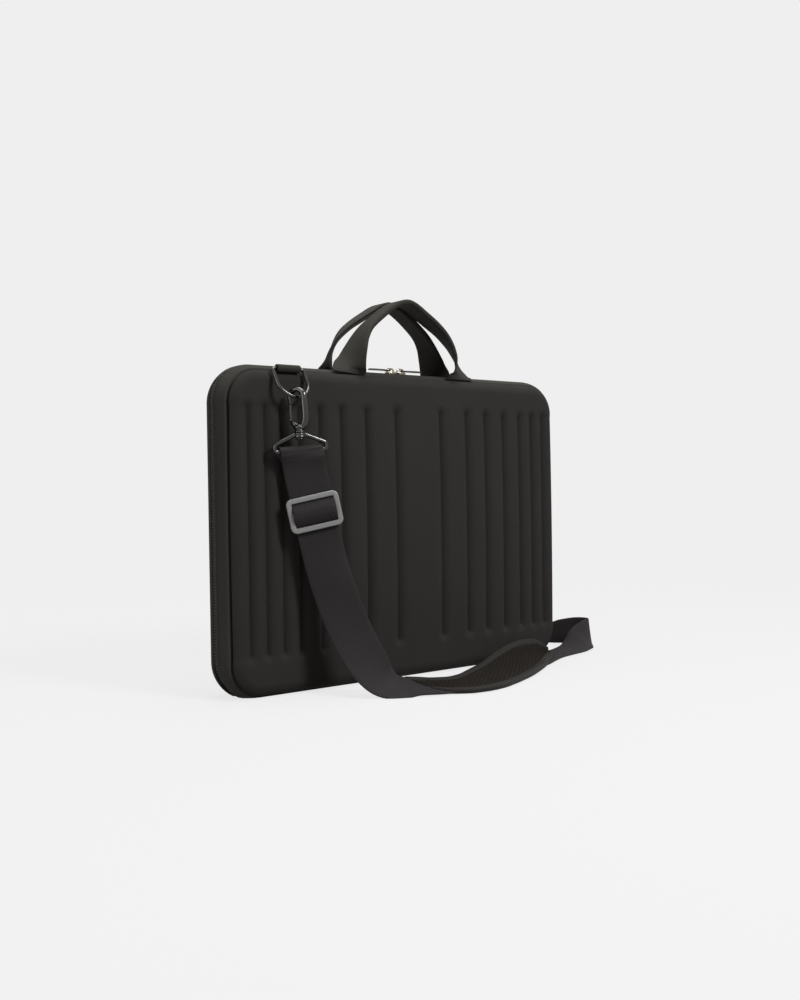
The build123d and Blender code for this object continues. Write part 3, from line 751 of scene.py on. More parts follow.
def shellPart():
    look = shellLook
    rows = [z for zone in look["rowZones"] for z in spread(*zone)]
    points, faces, rim, normals = centreGrid(look["setback"] + look["shoulder"], shellColumns(),
                                             rows, look["cornerSteps"])
    verts = [Vector((x, -faceDepth(x, z), z)) for x, z in points]
    uvs = [tuple(points[i] for i in face) for face in faces]
    profiles = []
    for index, (normalX, normalZ) in zip(rim, normals):
        x, z = points[index]
        profiles.append([Vector((x + normalX * out, -deep, z + normalZ * out))
                         for out, deep in edgeProfile(faceDepth(x, z))])
    edge = look["shoulderSteps"] - 1
    along = [0.0]
    for a, b in zip(profiles, profiles[1:] + profiles[:1]):
        along.append(along[-1] + (b[edge] - a[edge]).length)
    return addSkirt((verts, faces, uvs), rim, list(zip(*profiles)), along, look["weaveStep"])


shell = shellPart()
for half in ("front", "rear"):
    dress(f"{half}MouldedShell", mirroredFor(half, shell), "mouldedFabric", "moulded_fabric",
          f"case_{half}", f"{half}_shell")
print("moulded shells:", len(shell[0]), "points each")


# lining of the trays
liningLook = {
    "setback": 0.0116,
    "floorDepth": 0.0202,
    "cornerRadius": 0.0072,
    "gridStep": 0.012,
    "gridRows": (0.036, 0.256),
    "cornerSteps": 8,
    "sideDepth": 0.010,
    "hemRoll": ((0.0, 0.0010), (0.0002, 0.0002), (0.0006, -0.0003), (0.0010, -0.0001),
                (0.0010, 0.0006)),  # outward and depth, from the tray's side and the rim's edge
    "weaveStep": (0.01, 0.003),
}


def liningPart():
    look = liningLook
    corner, deepest = look["cornerRadius"], look["floorDepth"]
    inset = look["setback"] + corner
    limit = caseShape["halfWidth"] - inset
    columns = spread(-limit, limit, look["gridStep"]) + [limit]
    rows = spread(*look["gridRows"], look["gridStep"])
    points, faces, rim, normals = centreGrid(inset, columns, rows, look["cornerSteps"])
    verts = [Vector((x, -deepest, z)) for x, z in points]
    uvs = [tuple(points[i] for i in face) for face in faces]
    angles = [math.pi / 2 * k / look["cornerSteps"] for k in range(1, look["cornerSteps"] + 1)]
    steps = [(corner * math.sin(a), deepest - corner * (1 - math.cos(a))) for a in angles]
    steps.append((corner, look["sideDepth"]))
    steps += [(corner + out, shellLook["rimDepth"] + deep) for out, deep in look["hemRoll"]]
    levels = [[Vector((points[i][0] + normal[0] * out, -deep, points[i][1] + normal[1] * out))
               for i, normal in zip(rim, normals)] for out, deep in steps]
    along = [i * look["weaveStep"][0] for i in range(len(rim) + 1)]
    return addSkirt((verts, faces, uvs), rim, levels, along, look["weaveStep"][1])


lining = liningPart()
for half in ("front", "rear"):
    dress(f"{half}TrayLining", mirroredFor(half, lining), "liningFabric", "lining_fabric",
          f"case_{half}", f"{half}_lining")


# padded side walls
wallLook = {
    "bulgeRadius": 0.030,
    "widestDepth": 0.001,
    "endDepth": 0.0042,
    "seamDepth": 0.0166,
    "innerSetback": 0.0086,
    "hem": ((0.0040, 0.0004), (0.0024, 0.0001), (0.0012, 0.0), (0.0005, 0.0003),
            (0.00025, 0.0009), (0.0003, 0.0016)),  # setback, and depth past the wall's end
    "bulgeDepths": (0.0078, 0.0092, 0.0108, 0.0125, 0.0140, 0.0152, 0.0161),
    "seamRound": 0.0002,
    "stitchDepth": 0.0066,
    "stitchDent": 0.00035,
    "stitchSeat": 0.0002,
    "stitchLength": 0.0028,
    "stitchGap": 0.0012,
    "stitchRadius": 0.00022,
}


def wallSetback(depth):
    radius = wallLook["bulgeRadius"]
    return radius - math.sqrt(radius ** 2 - (depth - wallLook["widestDepth"]) ** 2)


def wallSection():
    # (setback, depth) from the zip's hem, over the bulge, to the seam with the shell
    look = wallLook
    end, seam, stitch = look["endDepth"], look["seamDepth"], look["stitchDepth"]
    inner, dent = look["innerSetback"], wallSetback(stitch) + look["stitchDent"]
    lip = seam - look["seamRound"]
    section = [(inner, end + 0.0006)]
    section += [(setback, end + depth) for setback, depth in look["hem"]]
    section += [(dent, stitch - 0.0002), (dent, stitch + 0.0002)]
    section += [(wallSetback(depth), depth) for depth in look["bulgeDepths"]]
    return section + [(wallSetback(lip) + 0.0003, lip), (wallSetback(seam) + 0.0008, seam),
                      (wallSetback(seam) + 0.0022, seam), (inner, seam)]


def wallStitches(frames):
    # short threads lying in the wall's dent, none where it stands on the floor
    look = wallLook
    length, radius = look["stitchLength"], look["stitchRadius"]
    setback = wallSetback(look["stitchDepth"]) + look["stitchSeat"]
    points = [origin + inward * setback + outward * look["stitchDepth"]
              for origin, inward, outward in frames]
    parts = []
    reach = 0.0
    for a, b in zip(points, points[1:] + points[:1]):
        run = b - a
        span = run.length
        while reach + length < span:
            start = a + run * (reach / span)
            end = a + run * ((reach + length) / span)
            if min(start.z, end.z) > 0.002:
                parts.append(tube([start, (start + end) / 2, end],
                                  [radius * 0.8, radius, radius * 0.8], 5))
            reach += length + look["stitchGap"]
        reach = max(reach - span, 0.0)
    return joinParts(*parts)


wallFrames = bandFrames(outlineStations(caseShape["bottom"]))
wall = flattened(sweep(wallFrames, [wallSection()] * len(wallFrames), closedPath=True))
stitches = wallStitches(wallFrames)
for half in ("front", "rear"):
    dress(f"{half}PaddedWall", mirroredFor(half, wall), "wallFabric", "side_fabric",
          f"case_{half}", f"{half}_side_wall")
    dress(f"{half}WallStitching", mirroredFor(half, stitches), "thread", "side_fabric",
          f"case_{half}")
print("side walls done")


# zip: tape and coil
zipLook = {
    "tape": (0.0014, 0.0008, 0.0024, 0.0075),  # setback, thickness, near and far depth
    "backing": (0.0015, 0.0011, 0.0003, 0.0024),
    "coilPitch": 0.0026,
    "coilRadius": 0.00060,
    "coilSeat": 0.00012,
    "coilBow": 0.0001,
    "coilInner": 0.00055,
    "coilOuter": 0.00290,
    "coilSink": 0.0011,
    "coilSlant": 0.00095,
    "spreadMiddle": 0.0006,  # along the top the two sliders hold the coil apart here
    "spreadHalf": 0.0125,
}
zipStations = outlineStations(caseShape["zipFloorGap"], openBelow=True)
zipFrames = bandFrames(zipStations)


def zipBand(setback, thickness, near, far):
    inner = setback + thickness
    section = [(setback, near), (setback, far), (inner, far), (inner, near)]
    return sweep(zipFrames, [section] * len(zipFrames))


def alongStations(stations, step):
    # even points along the zip's line with their inward normals
    result = []
    reach = step / 2
    for a, b in zip(stations, stations[1:]):
        span = math.hypot(b[0] - a[0], b[1] - a[1])
        while reach < span:
            t = reach / span
            result.append([p + (q - p) * t for p, q in zip(a, b)])
            reach += step
        reach -= span
    return result


def coilPart(side):
    # bent turns one after another, each slanting along the zip
    look = zipLook
    radius, near, far = look["coilRadius"], look["coilInner"], look["coilOuter"]
    parts = []
    for x, z, normalX, normalZ in alongStations(zipStations, look["coilPitch"]):
        if z > middleZ and abs(x - look["spreadMiddle"]) < look["spreadHalf"]:
            continue
        inward = Vector((-normalX, 0, -normalZ))
        slant = Vector((normalZ, 0, -normalX)) * (look["coilSlant"] / 2)
        base = Vector((x, 0, z)) + inward * (radius + look["coilSeat"])
        inner = base + Vector((0, side * near, 0)) - slant
        middle = base + Vector((0, side * (near + far) / 2, 0)) - inward * look["coilBow"]
        outer = base + Vector((0, side * (far - radius), 0)) + slant
        parts.append(tube([inner, middle, outer, outer + inward * look["coilSink"]],
                          [radius * 0.85, radius, radius, radius * 0.7], 6))
    return joinParts(*parts)


for half, side in (("front", -1), ("rear", 1)):
    tape, backing = [mirroredFor(half, zipBand(*zipLook[name])) for name in ("tape", "backing")]
    coil = joinParts(coilPart(side), backing)
    dress(f"{half}ZipTape", tape, "tapeFabric", "zip_tape", f"case_{half}", f"{half}_zip_tape",
          smooth=False)
    dress(f"{half}ZipCoil", coil, "coilPlastic", "zip_coil", f"case_{half}", f"{half}_zip_teeth")
print("zip coil:", len(coil[0]), "points each half")


# fabric spine
spineLook = {"halfWidth": 0.0053, "top": 0.0013, "bottom": 0.0002, "arch": 0.0002, "steps": 24}


def spinePart():
    look = spineLook
    end, top = caseShape["spineHalfLength"], look["top"]
    frames, sections = [], []
    for i in range(look["steps"] + 1):
        t = -1 + 2 * i / look["steps"]
        frames.append((Vector((0, look["halfWidth"] * t, 0)), Vector((1, 0, 0)), Vector((0, 0, 1))))
        low = look["bottom"] + look["arch"] * math.cos(math.pi * t)
        sections.append([(-end, low), (end, low), (end, top), (-end, top)])
    return sweep(frames, sections)


piece = dress("fabricSpine", spinePart(), "tapeFabric", "side_fabric", None, "spine", smooth=False)
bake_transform(piece)


# webbing
def webbingSection(width, thickness, groove=0.0, curl=0.0):
    # flat band with rounded edges; groove opens one edge between two layers, curl bows the band
    half, thick = width / 2, thickness / 2
    edge = 0.35 * thickness
    flat = [-half + edge + (width - 2 * edge) * i / 10 for i in range(11)]
    points = [(a, thick) for a in flat]
    points += [(half - edge * 0.3, thick * 0.75), (half, thick * 0.3),
               (half, -thick * 0.3), (half - edge * 0.3, -thick * 0.75)]
    points += [(-a, -thick) for a in flat]
    points += [(-half + edge * 0.2, -thick * 0.75), (-half, -thick * 0.35),
               (-half + groove, 0.0), (-half, thick * 0.35), (-half + edge * 0.2, thick * 0.75)]
    return [(a, b + curl * (1 - (a / half) ** 2)) for a, b in points]


def strip(points, acrosses, width, thickness):
    # even webbing along the points, and its length
    frames = stripFrames(points, acrosses)
    return sweep(frames, [webbingSection(width, thickness)] * len(frames)), lengthAlong(frames)


def bandAlong(route, steps, groove=None, curl=None):
    # route rows: x, y, z, heading, lift, width, thickness; heading and lift point across the band
    rows = catmull(route, steps)
    acrosses, sections = [], []
    for i, row in enumerate(rows):
        heading, lift = math.radians(row[3]), math.radians(row[4])
        acrosses.append(Vector((math.cos(heading) * math.cos(lift),
                                math.sin(heading) * math.cos(lift), math.sin(lift))))
        t = i / (len(rows) - 1)
        sections.append(webbingSection(row[5], row[6], groove(t) if groove else 0.0,
                                       curl(t) if curl else 0.0))
    frames = stripFrames([Vector(row[:3]) for row in rows], acrosses)
    return sweep(frames, sections), lengthAlong(frames)


def millimetres(rows):
    # x, y, z and the sizes from millimetres; the two angles stay
    return [tuple(value / 1000 if i not in (3, 4) else value for i, value in enumerate(row))
            for row in rows]


# handles
handleLook = {
    "groove": 0.004,
    "legShare": 0.16,  # of the whole length, at each end
    "foldShare": 0.12,
    "curl": 0.0016,
    "curlShare": 0.24,
    "steps": 8,
}
handleRoute = millimetres([
    (-68, -19, 291.0, 0, 0, 35, 2), (-67.6, -18.9, 294.5, -12, 0, 33.6, 2.1),
    (-66.8, -18.7, 298.2, -30, 0, 31, 2.2), (-63.5, -17.6, 305, -50, 0, 28, 2.6),
    (-58.5, -16, 315, -67, 0, 26.5, 3.2), (-52, -13.8, 325.5, -79, 0, 24, 4.0),
    (-43, -12, 336, -87, 0, 22.5, 4.6), (-30, -11, 346.5, -90, 0, 22, 5.0),
    (-17, -11, 356, -90, 0, 22, 5.0), (-6, -11.2, 361.8, -90, 0, 22, 5.0),
    (4, -11.2, 363.4, -90, 0, 22, 5.0), (13, -11.2, 360.6, -90, 0, 22, 5.0),
    (24, -11.2, 354.2, -90, 0, 22, 5.0), (38, -11.6, 345.5, -94, 0, 22.4, 5.0),
    (51, -12.2, 336, -103, 0, 21.5, 4.6), (60, -13.8, 325, -117, 0, 24, 4.0),
    (65, -15.8, 314, -126, 0, 26, 3.2), (67, -17.5, 304.5, -136, 0, 28, 2.6),
    (68, -18.7, 298.2, -150, 0, 31, 2.2), (68, -18.9, 294.5, -168, 0, 33.6, 2.1),
    (68, -19, 291.0, -180, 0, 35, 2),
])


def handleGroove(t):
    # none at the sewn-in legs, full along the grip
    look = handleLook
    folded = (min(t, 1 - t) - look["legShare"]) / look["foldShare"]
    return look["groove"] * max(0.0, min(1.0, folded))


def handleCurl(t):
    look = handleLook
    return look["curl"] * math.sin(math.pi * min(1.0, min(t, 1 - t) / look["curlShare"])) ** 2


handle, handleLength = bandAlong(handleRoute, handleLook["steps"], handleGroove,
                                 handleCurl)
for half in ("front", "rear"):
    piece = dress(f"{half}HandleWebbing", turnedFor(half, handle), "handleWebbing", "webbing",
                  f"{half}_grip", f"{half}_handle")
print("handles:", round(handleLength, 3), "m of webbing each")


# webbing tabs and D-rings
ringLook = {
    "x": -0.139,
    "pivotY": -0.025,
    "pivotZ": 0.2908,
    "wire": 0.0017,
    "halfWidth": 0.0158,
    "drop": 0.0302,
    "tilt": 29.8,
    "cornerRadius": 0.003,
    "tabWidth": 0.024,
    "tabThickness": 0.0013,
    "tabPlay": 0.0004,
    "tabTop": ((-0.0185, 0.2898), (-0.0196, 0.2914)),  # y and z of its sewn-in ends
    "tabFoot": ((-0.0208, 0.2884), (-0.0192, 0.2882)),
}


def ringPart():
    look = ringLook
    tilt = math.radians(look["tilt"])
    down = Vector((0, -math.sin(tilt), -math.cos(tilt)))
    origin = Vector((look["x"], look["pivotY"], look["pivotZ"]))
    half, drop, corner = look["halfWidth"], look["drop"], look["cornerRadius"]
    bends = [math.pi / 2 * i / 5 for i in range(6)]
    corners = [(half - corner + corner * math.sin(a), corner - corner * math.cos(a)) for a in bends]
    sides = [corner + (drop - half - corner) * i / 3 for i in range(1, 4)]
    bow = [math.pi * i / 24 for i in range(1, 24)]
    loop = [(-a, b) for a, b in corners[::-1]] + corners + [(half, b) for b in sides]
    loop += [(half * math.cos(a), drop - half + half * math.sin(a)) for a in bow]
    loop += [(-half, b) for b in sides[::-1]]
    points = [origin + Vector((a, 0, 0)) + down * b for a, b in loop]
    return tube(points, look["wire"], 14, closedPath=True)


def tabPart():
    # webbing wrapped round the ring's bar, its two ends sewn into the seam
    look = ringLook
    radius = look["wire"] + look["tabPlay"] + look["tabThickness"] / 2
    wrap = [math.radians(75 + 215 * i / 14) for i in range(15)]
    line = list(look["tabTop"])
    line += [(look["pivotY"] + radius * math.cos(a), look["pivotZ"] + radius * math.sin(a))
             for a in wrap]
    line += look["tabFoot"]
    points = smoothCurve([(look["x"], y, z) for y, z in line], 3)
    return strip(points, [Vector((1, 0, 0))] * len(points), look["tabWidth"], look["tabThickness"])


ring = ringPart()
tab, tabLength = tabPart()
for half in ("front", "rear"):
    dress(f"{half}RingWire", turnedFor(half, ring), "blackMetal", "black_metal",
          f"{half}_ring", f"{half}_d_ring")
    piece = dress(f"{half}RingTab", turnedFor(half, tab), "handleWebbing", "webbing",
                  f"case_{half}", f"{half}_ring_tab")


# swivel snap hooks; their lines are (across, height) from the swivel
clipOrigin = Vector((-0.1384, -0.0410, 0.2380))
clipAxis = Vector((-0.06, 0.015, 0.998)).normalized()
hookLook = {
    "turn": -65.0,
    "halfWidth": 0.0072,
    "wire": 0.0023,
    "top": 0.0354,
    "shank": ((0.0012, -0.0015), (0.0034, 0.0004), (0.0058, 0.0030), (0.0070, 0.0066),
              (0.0073, 0.0115), (0.0073, 0.0170), (0.0072, 0.0220)),
    "tip": ((-0.0072, 0.0232), (-0.0071, 0.0215)),
    "rodRadii": ((2, 0.0028), (5, 0.0032), (4, 0.0027), (13, 0.0023), (1, 0.0021), (1, 0.0018)),
    "heel": ((-0.0005, -0.0008), (-0.0028, 0.0012), (-0.0052, 0.0030), (-0.0068, 0.0042)),
    "heelRadii": (0.0026, 0.0025, 0.0021, 0.0016),
    "collar": ((0.0, 0.0026), (0.0030, 0.0024), (0.0042, 0.0012), (0.0050, 0.0006),
               (0.0052, -0.0002), (0.0050, -0.0012), (0.0038, -0.0018), (0.0036, -0.0028),
               (0.0049, -0.0034), (0.0052, -0.0040), (0.0049, -0.0046), (0.0022, -0.0047),
               (0.0022, -0.0097), (0.0034, -0.0098), (0.0036, -0.0104), (0.0030, -0.0110),
               (0.0, -0.0112)),
    "gate": ((-0.0068, 0.0056), (-0.0072, 0.0080), (-0.0075, 0.0120), (-0.0076, 0.0160),
             (-0.0073, 0.0192)),
    "gateRadius": 0.0012,
    "gateSwell": 0.0002,
    "pin": (-0.0072, 0.0066),
    "pinHalfLength": 0.0016,
    "pinRadius": 0.0014,
}


def heading(degrees):
    # level direction at that heading, made square to the clip's axis
    direction = Vector((math.cos(math.radians(degrees)), math.sin(math.radians(degrees)), 0))
    return (direction - clipAxis * direction.dot(clipAxis)).normalized()


hookAcross = heading(hookLook["turn"])


def onClip(across, a, height):
    return clipOrigin + across * a + clipAxis * height


def onHook(line):
    return [onClip(hookAcross, a, height) for a, height in line]


def hookPart():
    look = hookLook
    half, centre = look["halfWidth"], look["top"] - look["wire"] - look["halfWidth"]
    bow = [math.pi * i / 16 for i in range(17)]
    line = list(look["shank"])
    line += [(half * math.cos(a), centre + half * math.sin(a)) for a in bow]
    line += look["tip"]
    radii = [radius for count, radius in look["rodRadii"] for i in range(count)]
    rod = tube(onHook(line), radii, 16)
    heel = tube(onHook(look["heel"]), look["heelRadii"], 14)  # carries the gate's pin
    collar = lathe(look["collar"], clipOrigin, clipAxis, 36)
    return joinParts(rod, heel, collar)


def gatePart():
    look = hookLook
    line = catmull(look["gate"], 4)
    radii = [look["gateRadius"] + look["gateSwell"] * math.sin(i / 5) for i in range(len(line))]
    arm = tube(onHook(line), radii, 12)
    foot = onClip(hookAcross, *look["pin"])
    half = hookAcross.cross(clipAxis) * look["pinHalfLength"]
    return joinParts(arm, tube([foot - half, foot, foot + half], look["pinRadius"], 10))


# clip base: round wire frame under a boss
baseLook = {
    "turn": -20.0,
    "wire": 0.0020,
    "neck": (0.0050, 0.0068),  # half width and drop of each pair of bends
    "shoulder": (0.0230, 0.0146),
    "bar": (0.0232, 0.0206),
    "bendRadius": 0.0036,
    "boss": ((0.0027, -0.0049), (0.0044, -0.0049), (0.0050, -0.0054), (0.0051, -0.0062),
             (0.0046, -0.0070), (0.0046, -0.0078), (0.0050, -0.0084), (0.0048, -0.0091),
             (0.0040, -0.0093), (0.0027, -0.0093)),
}
baseAcross = heading(baseLook["turn"])


def basePart():
    look = baseLook
    right = [(half, -drop) for half, drop in (look["neck"], look["shoulder"], look["bar"])]
    corners = [(0.0, right[0][1])] + right + [(-a, height) for a, height in right[::-1]]
    path = roundedPath([onClip(baseAcross, a, height) for a, height in corners],
                       look["bendRadius"], 7, closedPath=True)
    return joinParts(tube(path, look["wire"], 14, closedPath=True),
                     lathe(look["boss"], clipOrigin, clipAxis, 32))


clipParts = (("SnapHook", hookPart(), "hook", "snap_hook"),
             ("HookGate", gatePart(), "gate", "hook_gate"),
             ("ClipFrame", basePart(), "clip", "clip_base"))
for half in ("front", "rear"):
    for name, part, body, solid in clipParts:
        dress(f"{half}{name}", turnedFor(half, part), "blackMetal", "black_metal",
              f"{half}_{body}", f"{half}_{solid}")
print("rings, hooks and clip frames done")


# shoulder strap
strapLook = {"width": 0.038, "thickness": 0.0018, "heading": -27, "steps": 7}
strapTurn = math.radians(strapLook["heading"])
strapAcross = Vector((math.cos(strapTurn), math.sin(strapTurn), 0))
eyeEnd = Vector((-0.135894, -0.041901, 0.209468))
hangDown = Vector((0.195688, -0.066045, -0.97844)).normalized()
strapStations = [  # x, y, z, heading, lift and width
    (-136.71, -44.16, 209.47, -27, 0, 38), (-136.69, -44.17, 209.37, -27, 0, 38),
    (-133.4, -42.74, 197.0, -27, 0, 38), (-127.8, -44.64, 169.0, -27, 0, 38),
    (-119.6, -47.4, 128, -27, 0, 38), (-113, -53, 96, -35, 2, 38), (-104, -62, 62, -30, 6, 38),
    (-95, -72, 36, -18, 14, 38), (-85, -81, 18, 5, 22, 38), (-71, -87, 9, 38, 20, 38),
    (-54, -92, 6, 62, 12, 38), (-32, -101, 4.2, 78, 8, 38), (-6, -109.5, 2.6, 90, 2, 38),
    (21.7, -102.5, 2.8, 98, 2, 38), (53.5, -87.5, 3.2, 104, 3, 38),
    (85.3, -72.5, 4.6, 107, 7, 38), (111.3, -61.5, 6.6, 108, 13, 38),
    (131, -53.5, 6.0, 105, 12, 37), (151, -44, 4.2, 101, 6, 34), (167, -36.5, 2.6, 99, 3, 31),
    (182, -31, 2.2, 99, 2, 30), (197, -27, 2.2, 100, 2, 30), (212, -24, 2.8, 101, 4, 30),
    (226, -21, 4, 103, 8, 31), (238, -17, 7, 106, 18, 32), (249, -13, 11.8, 118, 42, 32),
    (263, -8, 15.2, 140, 68, 31.5), (274, -1, 15.6, 158, 84, 31), (276.5, 9, 15.6, 178, 86, 31),
    (272, 20, 15.5, 200, 80, 31), (261, 29.5, 14.8, 214, 72, 30), (248, 39, 13.6, 222, 56, 30),
    (231, 54, 17, 222, 50, 34), (215, 72, 20.2, 230, 46, 38), (198, 83, 27, 248, 40, 38),
    (179, 83, 44, 268, 26, 38), (164, 73, 73.9, 290, 14, 38), (151, 59, 112.1, 310, 6, 38),
    (142, 49, 155, 324, 2, 38), (133.3, 44.5, 193.8, 333, 0, 38),
    (136.69, 44.17, 209.37, 333, 0, 38), (136.71, 44.16, 209.47, 333, 0, 38),
]
strapRoute = millimetres([(*station, 1000 * strapLook["thickness"]) for station in strapStations])
strap, strapLength = bandAlong(strapRoute, strapLook["steps"])
piece = dress("shoulderStrap", strap, "webbing", "webbing", None,
              "strap_front_hang", "strap_under_pad", "strap_floor_loop", "strap_rear_drop")
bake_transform(piece)
print("strap:", round(strapLength, 3), "m")


# eye of webbing round each clip bar, two layers sewn down
eyeLook = {"frontLift": 0.0024, "backLift": 0.0003, "twistLength": 0.0060, "play": 0.0004}


def eyePart():
    look = eyeLook
    bar = onClip(baseAcross, 0.0, -baseLook["bar"][1])
    out = baseAcross.cross(clipAxis).normalized()
    radius = baseLook["wire"] + look["play"] + strapLook["thickness"] / 2
    down = (eyeEnd - bar).normalized()
    front = eyeEnd + out * look["frontLift"]
    line = [front, front - down * 0.0002, bar + down * 0.0035 + out * (radius * 0.97)]
    for i in range(13):
        angle = math.radians(-10 + 200 * i / 12)
        line.append(bar + out * (radius * math.cos(angle)) - down * (radius * math.sin(angle)))
    line += [bar + down * 0.0045 - out * (radius * 0.75), eyeEnd + out * look["backLift"]]
    points = smoothCurve(line, 3)
    turns = [max(0.0, 1 - (point - front).length / look["twistLength"]) for point in points]
    return strip(points, [baseAcross.lerp(strapAcross, turn) for turn in turns],
                 strapLook["width"], strapLook["thickness"])


eye, eyeLength = eyePart()
for half in ("front", "rear"):
    piece = dress(f"{half}StrapEye", turnedFor(half, eye), "webbing", "webbing",
                  f"case_{half}", f"{half}_strap_eye")


# tri-glide and the webbing over its bar
glideLook = {
    "width": 0.047,
    "height": 0.031,
    "rail": 0.0046,
    "thickness": 0.0040,
    "cornerRadius": 0.0055,
    "edgeRadius": 0.0009,
    "barScale": (1.2, 0.85),  # of the rail's section
    "barReach": 0.0206,
    "lift": 0.0013,
    "foldRise": 0.0060,
}
glideCentre = Vector((-0.12664, -0.045024, 0.1632))
glideUp = -hangDown
glideAcross = (strapAcross - hangDown * strapAcross.dot(hangDown)).normalized()
glideOut = glideAcross.cross(glideUp).normalized()


def onGlide(a, b, out):
    return glideCentre + glideAcross * a + glideUp * b + glideOut * (glideLook["lift"] + out)


def glidePart():
    look = glideLook
    rail, half, reach = look["rail"], look["thickness"] / 2, look["barReach"]
    path = roundedSlab(look["width"] - rail, look["height"] - rail,
                       look["cornerRadius"] - rail / 2, 7)
    points = [onGlide(a, b, half) for a, b in path]
    frames = []
    for i, point in enumerate(points):
        tangent = (points[(i + 1) % len(points)] - points[i - 1]).normalized()
        frames.append((point, tangent.cross(glideOut).normalized(), glideOut))
    section = roundedSlab(rail, look["thickness"], look["edgeRadius"], 3)
    rim = sweep(frames, [section] * len(frames), closedPath=True)
    wide, thin = look["barScale"]
    bar = sweep([(onGlide(a, 0, half), glideUp, glideOut) for a in (-reach, reach)],
                [[(a * wide, b * thin) for a, b in section]] * 2)
    return joinParts(rim, bar)


def foldPart():
    # webbing that comes up through the lower slot, over the bar and down through the upper one
    look = glideLook
    reach, rise = look["height"] / 2 - look["rail"], look["foldRise"]
    climb = [(reach - 0.0008, -0.0002), (reach - 0.0014, 0.0016), (reach - 0.0040, 0.0038),
             (0.0035, rise - 0.0004)]
    line = [(-b, out) for b, out in climb] + [(0, rise)] + climb[::-1]
    points = [onGlide(0, b, out) for b, out in catmull(line, 5)]
    return strip(points, [glideAcross] * len(points), strapLook["width"], strapLook["thickness"])


fold, foldLength = foldPart()
dress("strapGlide", glidePart(), "glidePlastic", "black_plastic", "strap_adjuster", "tri_glide")
piece = dress("glideFold", fold, "webbing", "webbing", "strap_adjuster", "glide_webbing_fold")


# shoulder pad: a shallow dish of foam with a ribbed mesh face inside a rolled binding
padLook = {
    "rimRadius": 0.0027,
    "nearBinding": 0.0062,
    "farBinding": 0.0046,
    "recess": 0.0007,
    "topRise": 0.0019,
    "floorGap": 0.0002,
    "ribPitch": 0.0036,
    "ribHeight": 0.00075,
    "ribHeading": 42,  # degrees from +X
    "meshTuck": 0.0003,
    "meshLift": 0.0001,
    "stitchInset": 0.0012,
    "stitchLift": 0.0003,
    "stitchLength": 0.0022,
    "stitchStep": 0.0034,
}
padStations = [  # near rim, far rim and how deep the dish sags between them, in millimetres
    (-43, -103, 2.9, -49.5, -74, 9.6, 0), (-38.5, -111, 3.0, -36, -76.5, 8, 0.4),
    (-31, -119.5, 3.1, -27.5, -82, 7.2, 0.7), (-18.6, -127.6, 3.1, -18, -86, 6.9, 0.9),
    (-7.6, -130, 3.1, -11, -86.5, 6.5, 1.0), (5.4, -130.6, 3.1, -2, -84.8, 6.2, 1.1),
    (22.9, -127.6, 3.1, 11, -80, 6.1, 1.2), (40.5, -121, 3.1, 26.4, -71.7, 6.4, 1.3),
    (59.7, -112.6, 3.1, 43.5, -63, 7, 1.5), (77.5, -104, 3.1, 61, -55.8, 8.8, 2.0),
    (99.4, -91.6, 3.2, 84.5, -47.5, 14.2, 3.0), (125.4, -75.7, 3.6, 114, -42, 21.2, 3.6),
    (143, -62.8, 4.2, 137, -39.5, 22, 3.0), (154, -55.2, 5, 151, -40, 19.8, 1.8),
    (161, -50, 7.5, 160, -45, 12.5, 0.3),
]


def padRows(steps):
    # each row: near rim, direction across, upward normal, width, sag and the two bindings' widths
    rows = catmull([tuple(value / 1000 for value in station) for station in padStations], steps)
    result = []
    for i, row in enumerate(rows):
        near, far = Vector(row[:3]), Vector(row[3:6])
        before, after = rows[max(i - 1, 0)], rows[min(i + 1, len(rows) - 1)]
        ahead = (Vector(after[:3]) + Vector(after[3:6])
                 - Vector(before[:3]) - Vector(before[3:6])).normalized()
        across, width = (far - near).normalized(), (far - near).length
        nearEdge = min(padLook["nearBinding"], width * 0.3)
        farEdge = min(padLook["farBinding"], width * 0.25)
        up = ahead.cross(across).normalized()
        result.append((near, across, up, width, row[6], nearEdge, farEdge))
    return result


def dishHeight(share, sag):
    return padLook["topRise"] - sag * 4 * share * (1 - share)


def padBodyPart():
    look = padLook
    radius = look["rimRadius"]
    crown = radius - look["topRise"]
    rows = []
    for near, across, up, width, sag, nearEdge, farEdge in padRows(8):
        row = []

        def put(a, b):
            point = near + across * a + up * b
            row.append(Vector((point.x, point.y, max(point.z, look["floorGap"]))))

        for k in range(9):  # rolled near rim, from below to above
            angle = math.pi * (-0.5 - k / 8)
            put(radius * math.cos(angle), radius * math.sin(angle))
        for a in (0.3, 0.65, 0.95):
            put(nearEdge * a, dishHeight(nearEdge * a / width, sag) + crown * (1 - a * a))
        for k in range(11):
            a = nearEdge + (width - nearEdge - farEdge) * k / 10
            put(a, dishHeight(a / width, sag) - look["recess"])
        for a in (0.95, 0.65, 0.3):
            put(width - farEdge * a,
                dishHeight(1 - farEdge * a / width, sag) + crown * (1 - a * a))
        for k in range(9):  # rolled far rim
            angle = math.pi * (0.5 - k / 8)
            put(width + radius * math.cos(angle), radius * math.sin(angle))
        for k in range(1, 8):  # underside
            share = 1 - k / 8
            put(width * share, -radius - sag * 2 * share * (1 - share))
        rows.append(row)
    return gridPart(rows, closed=True)


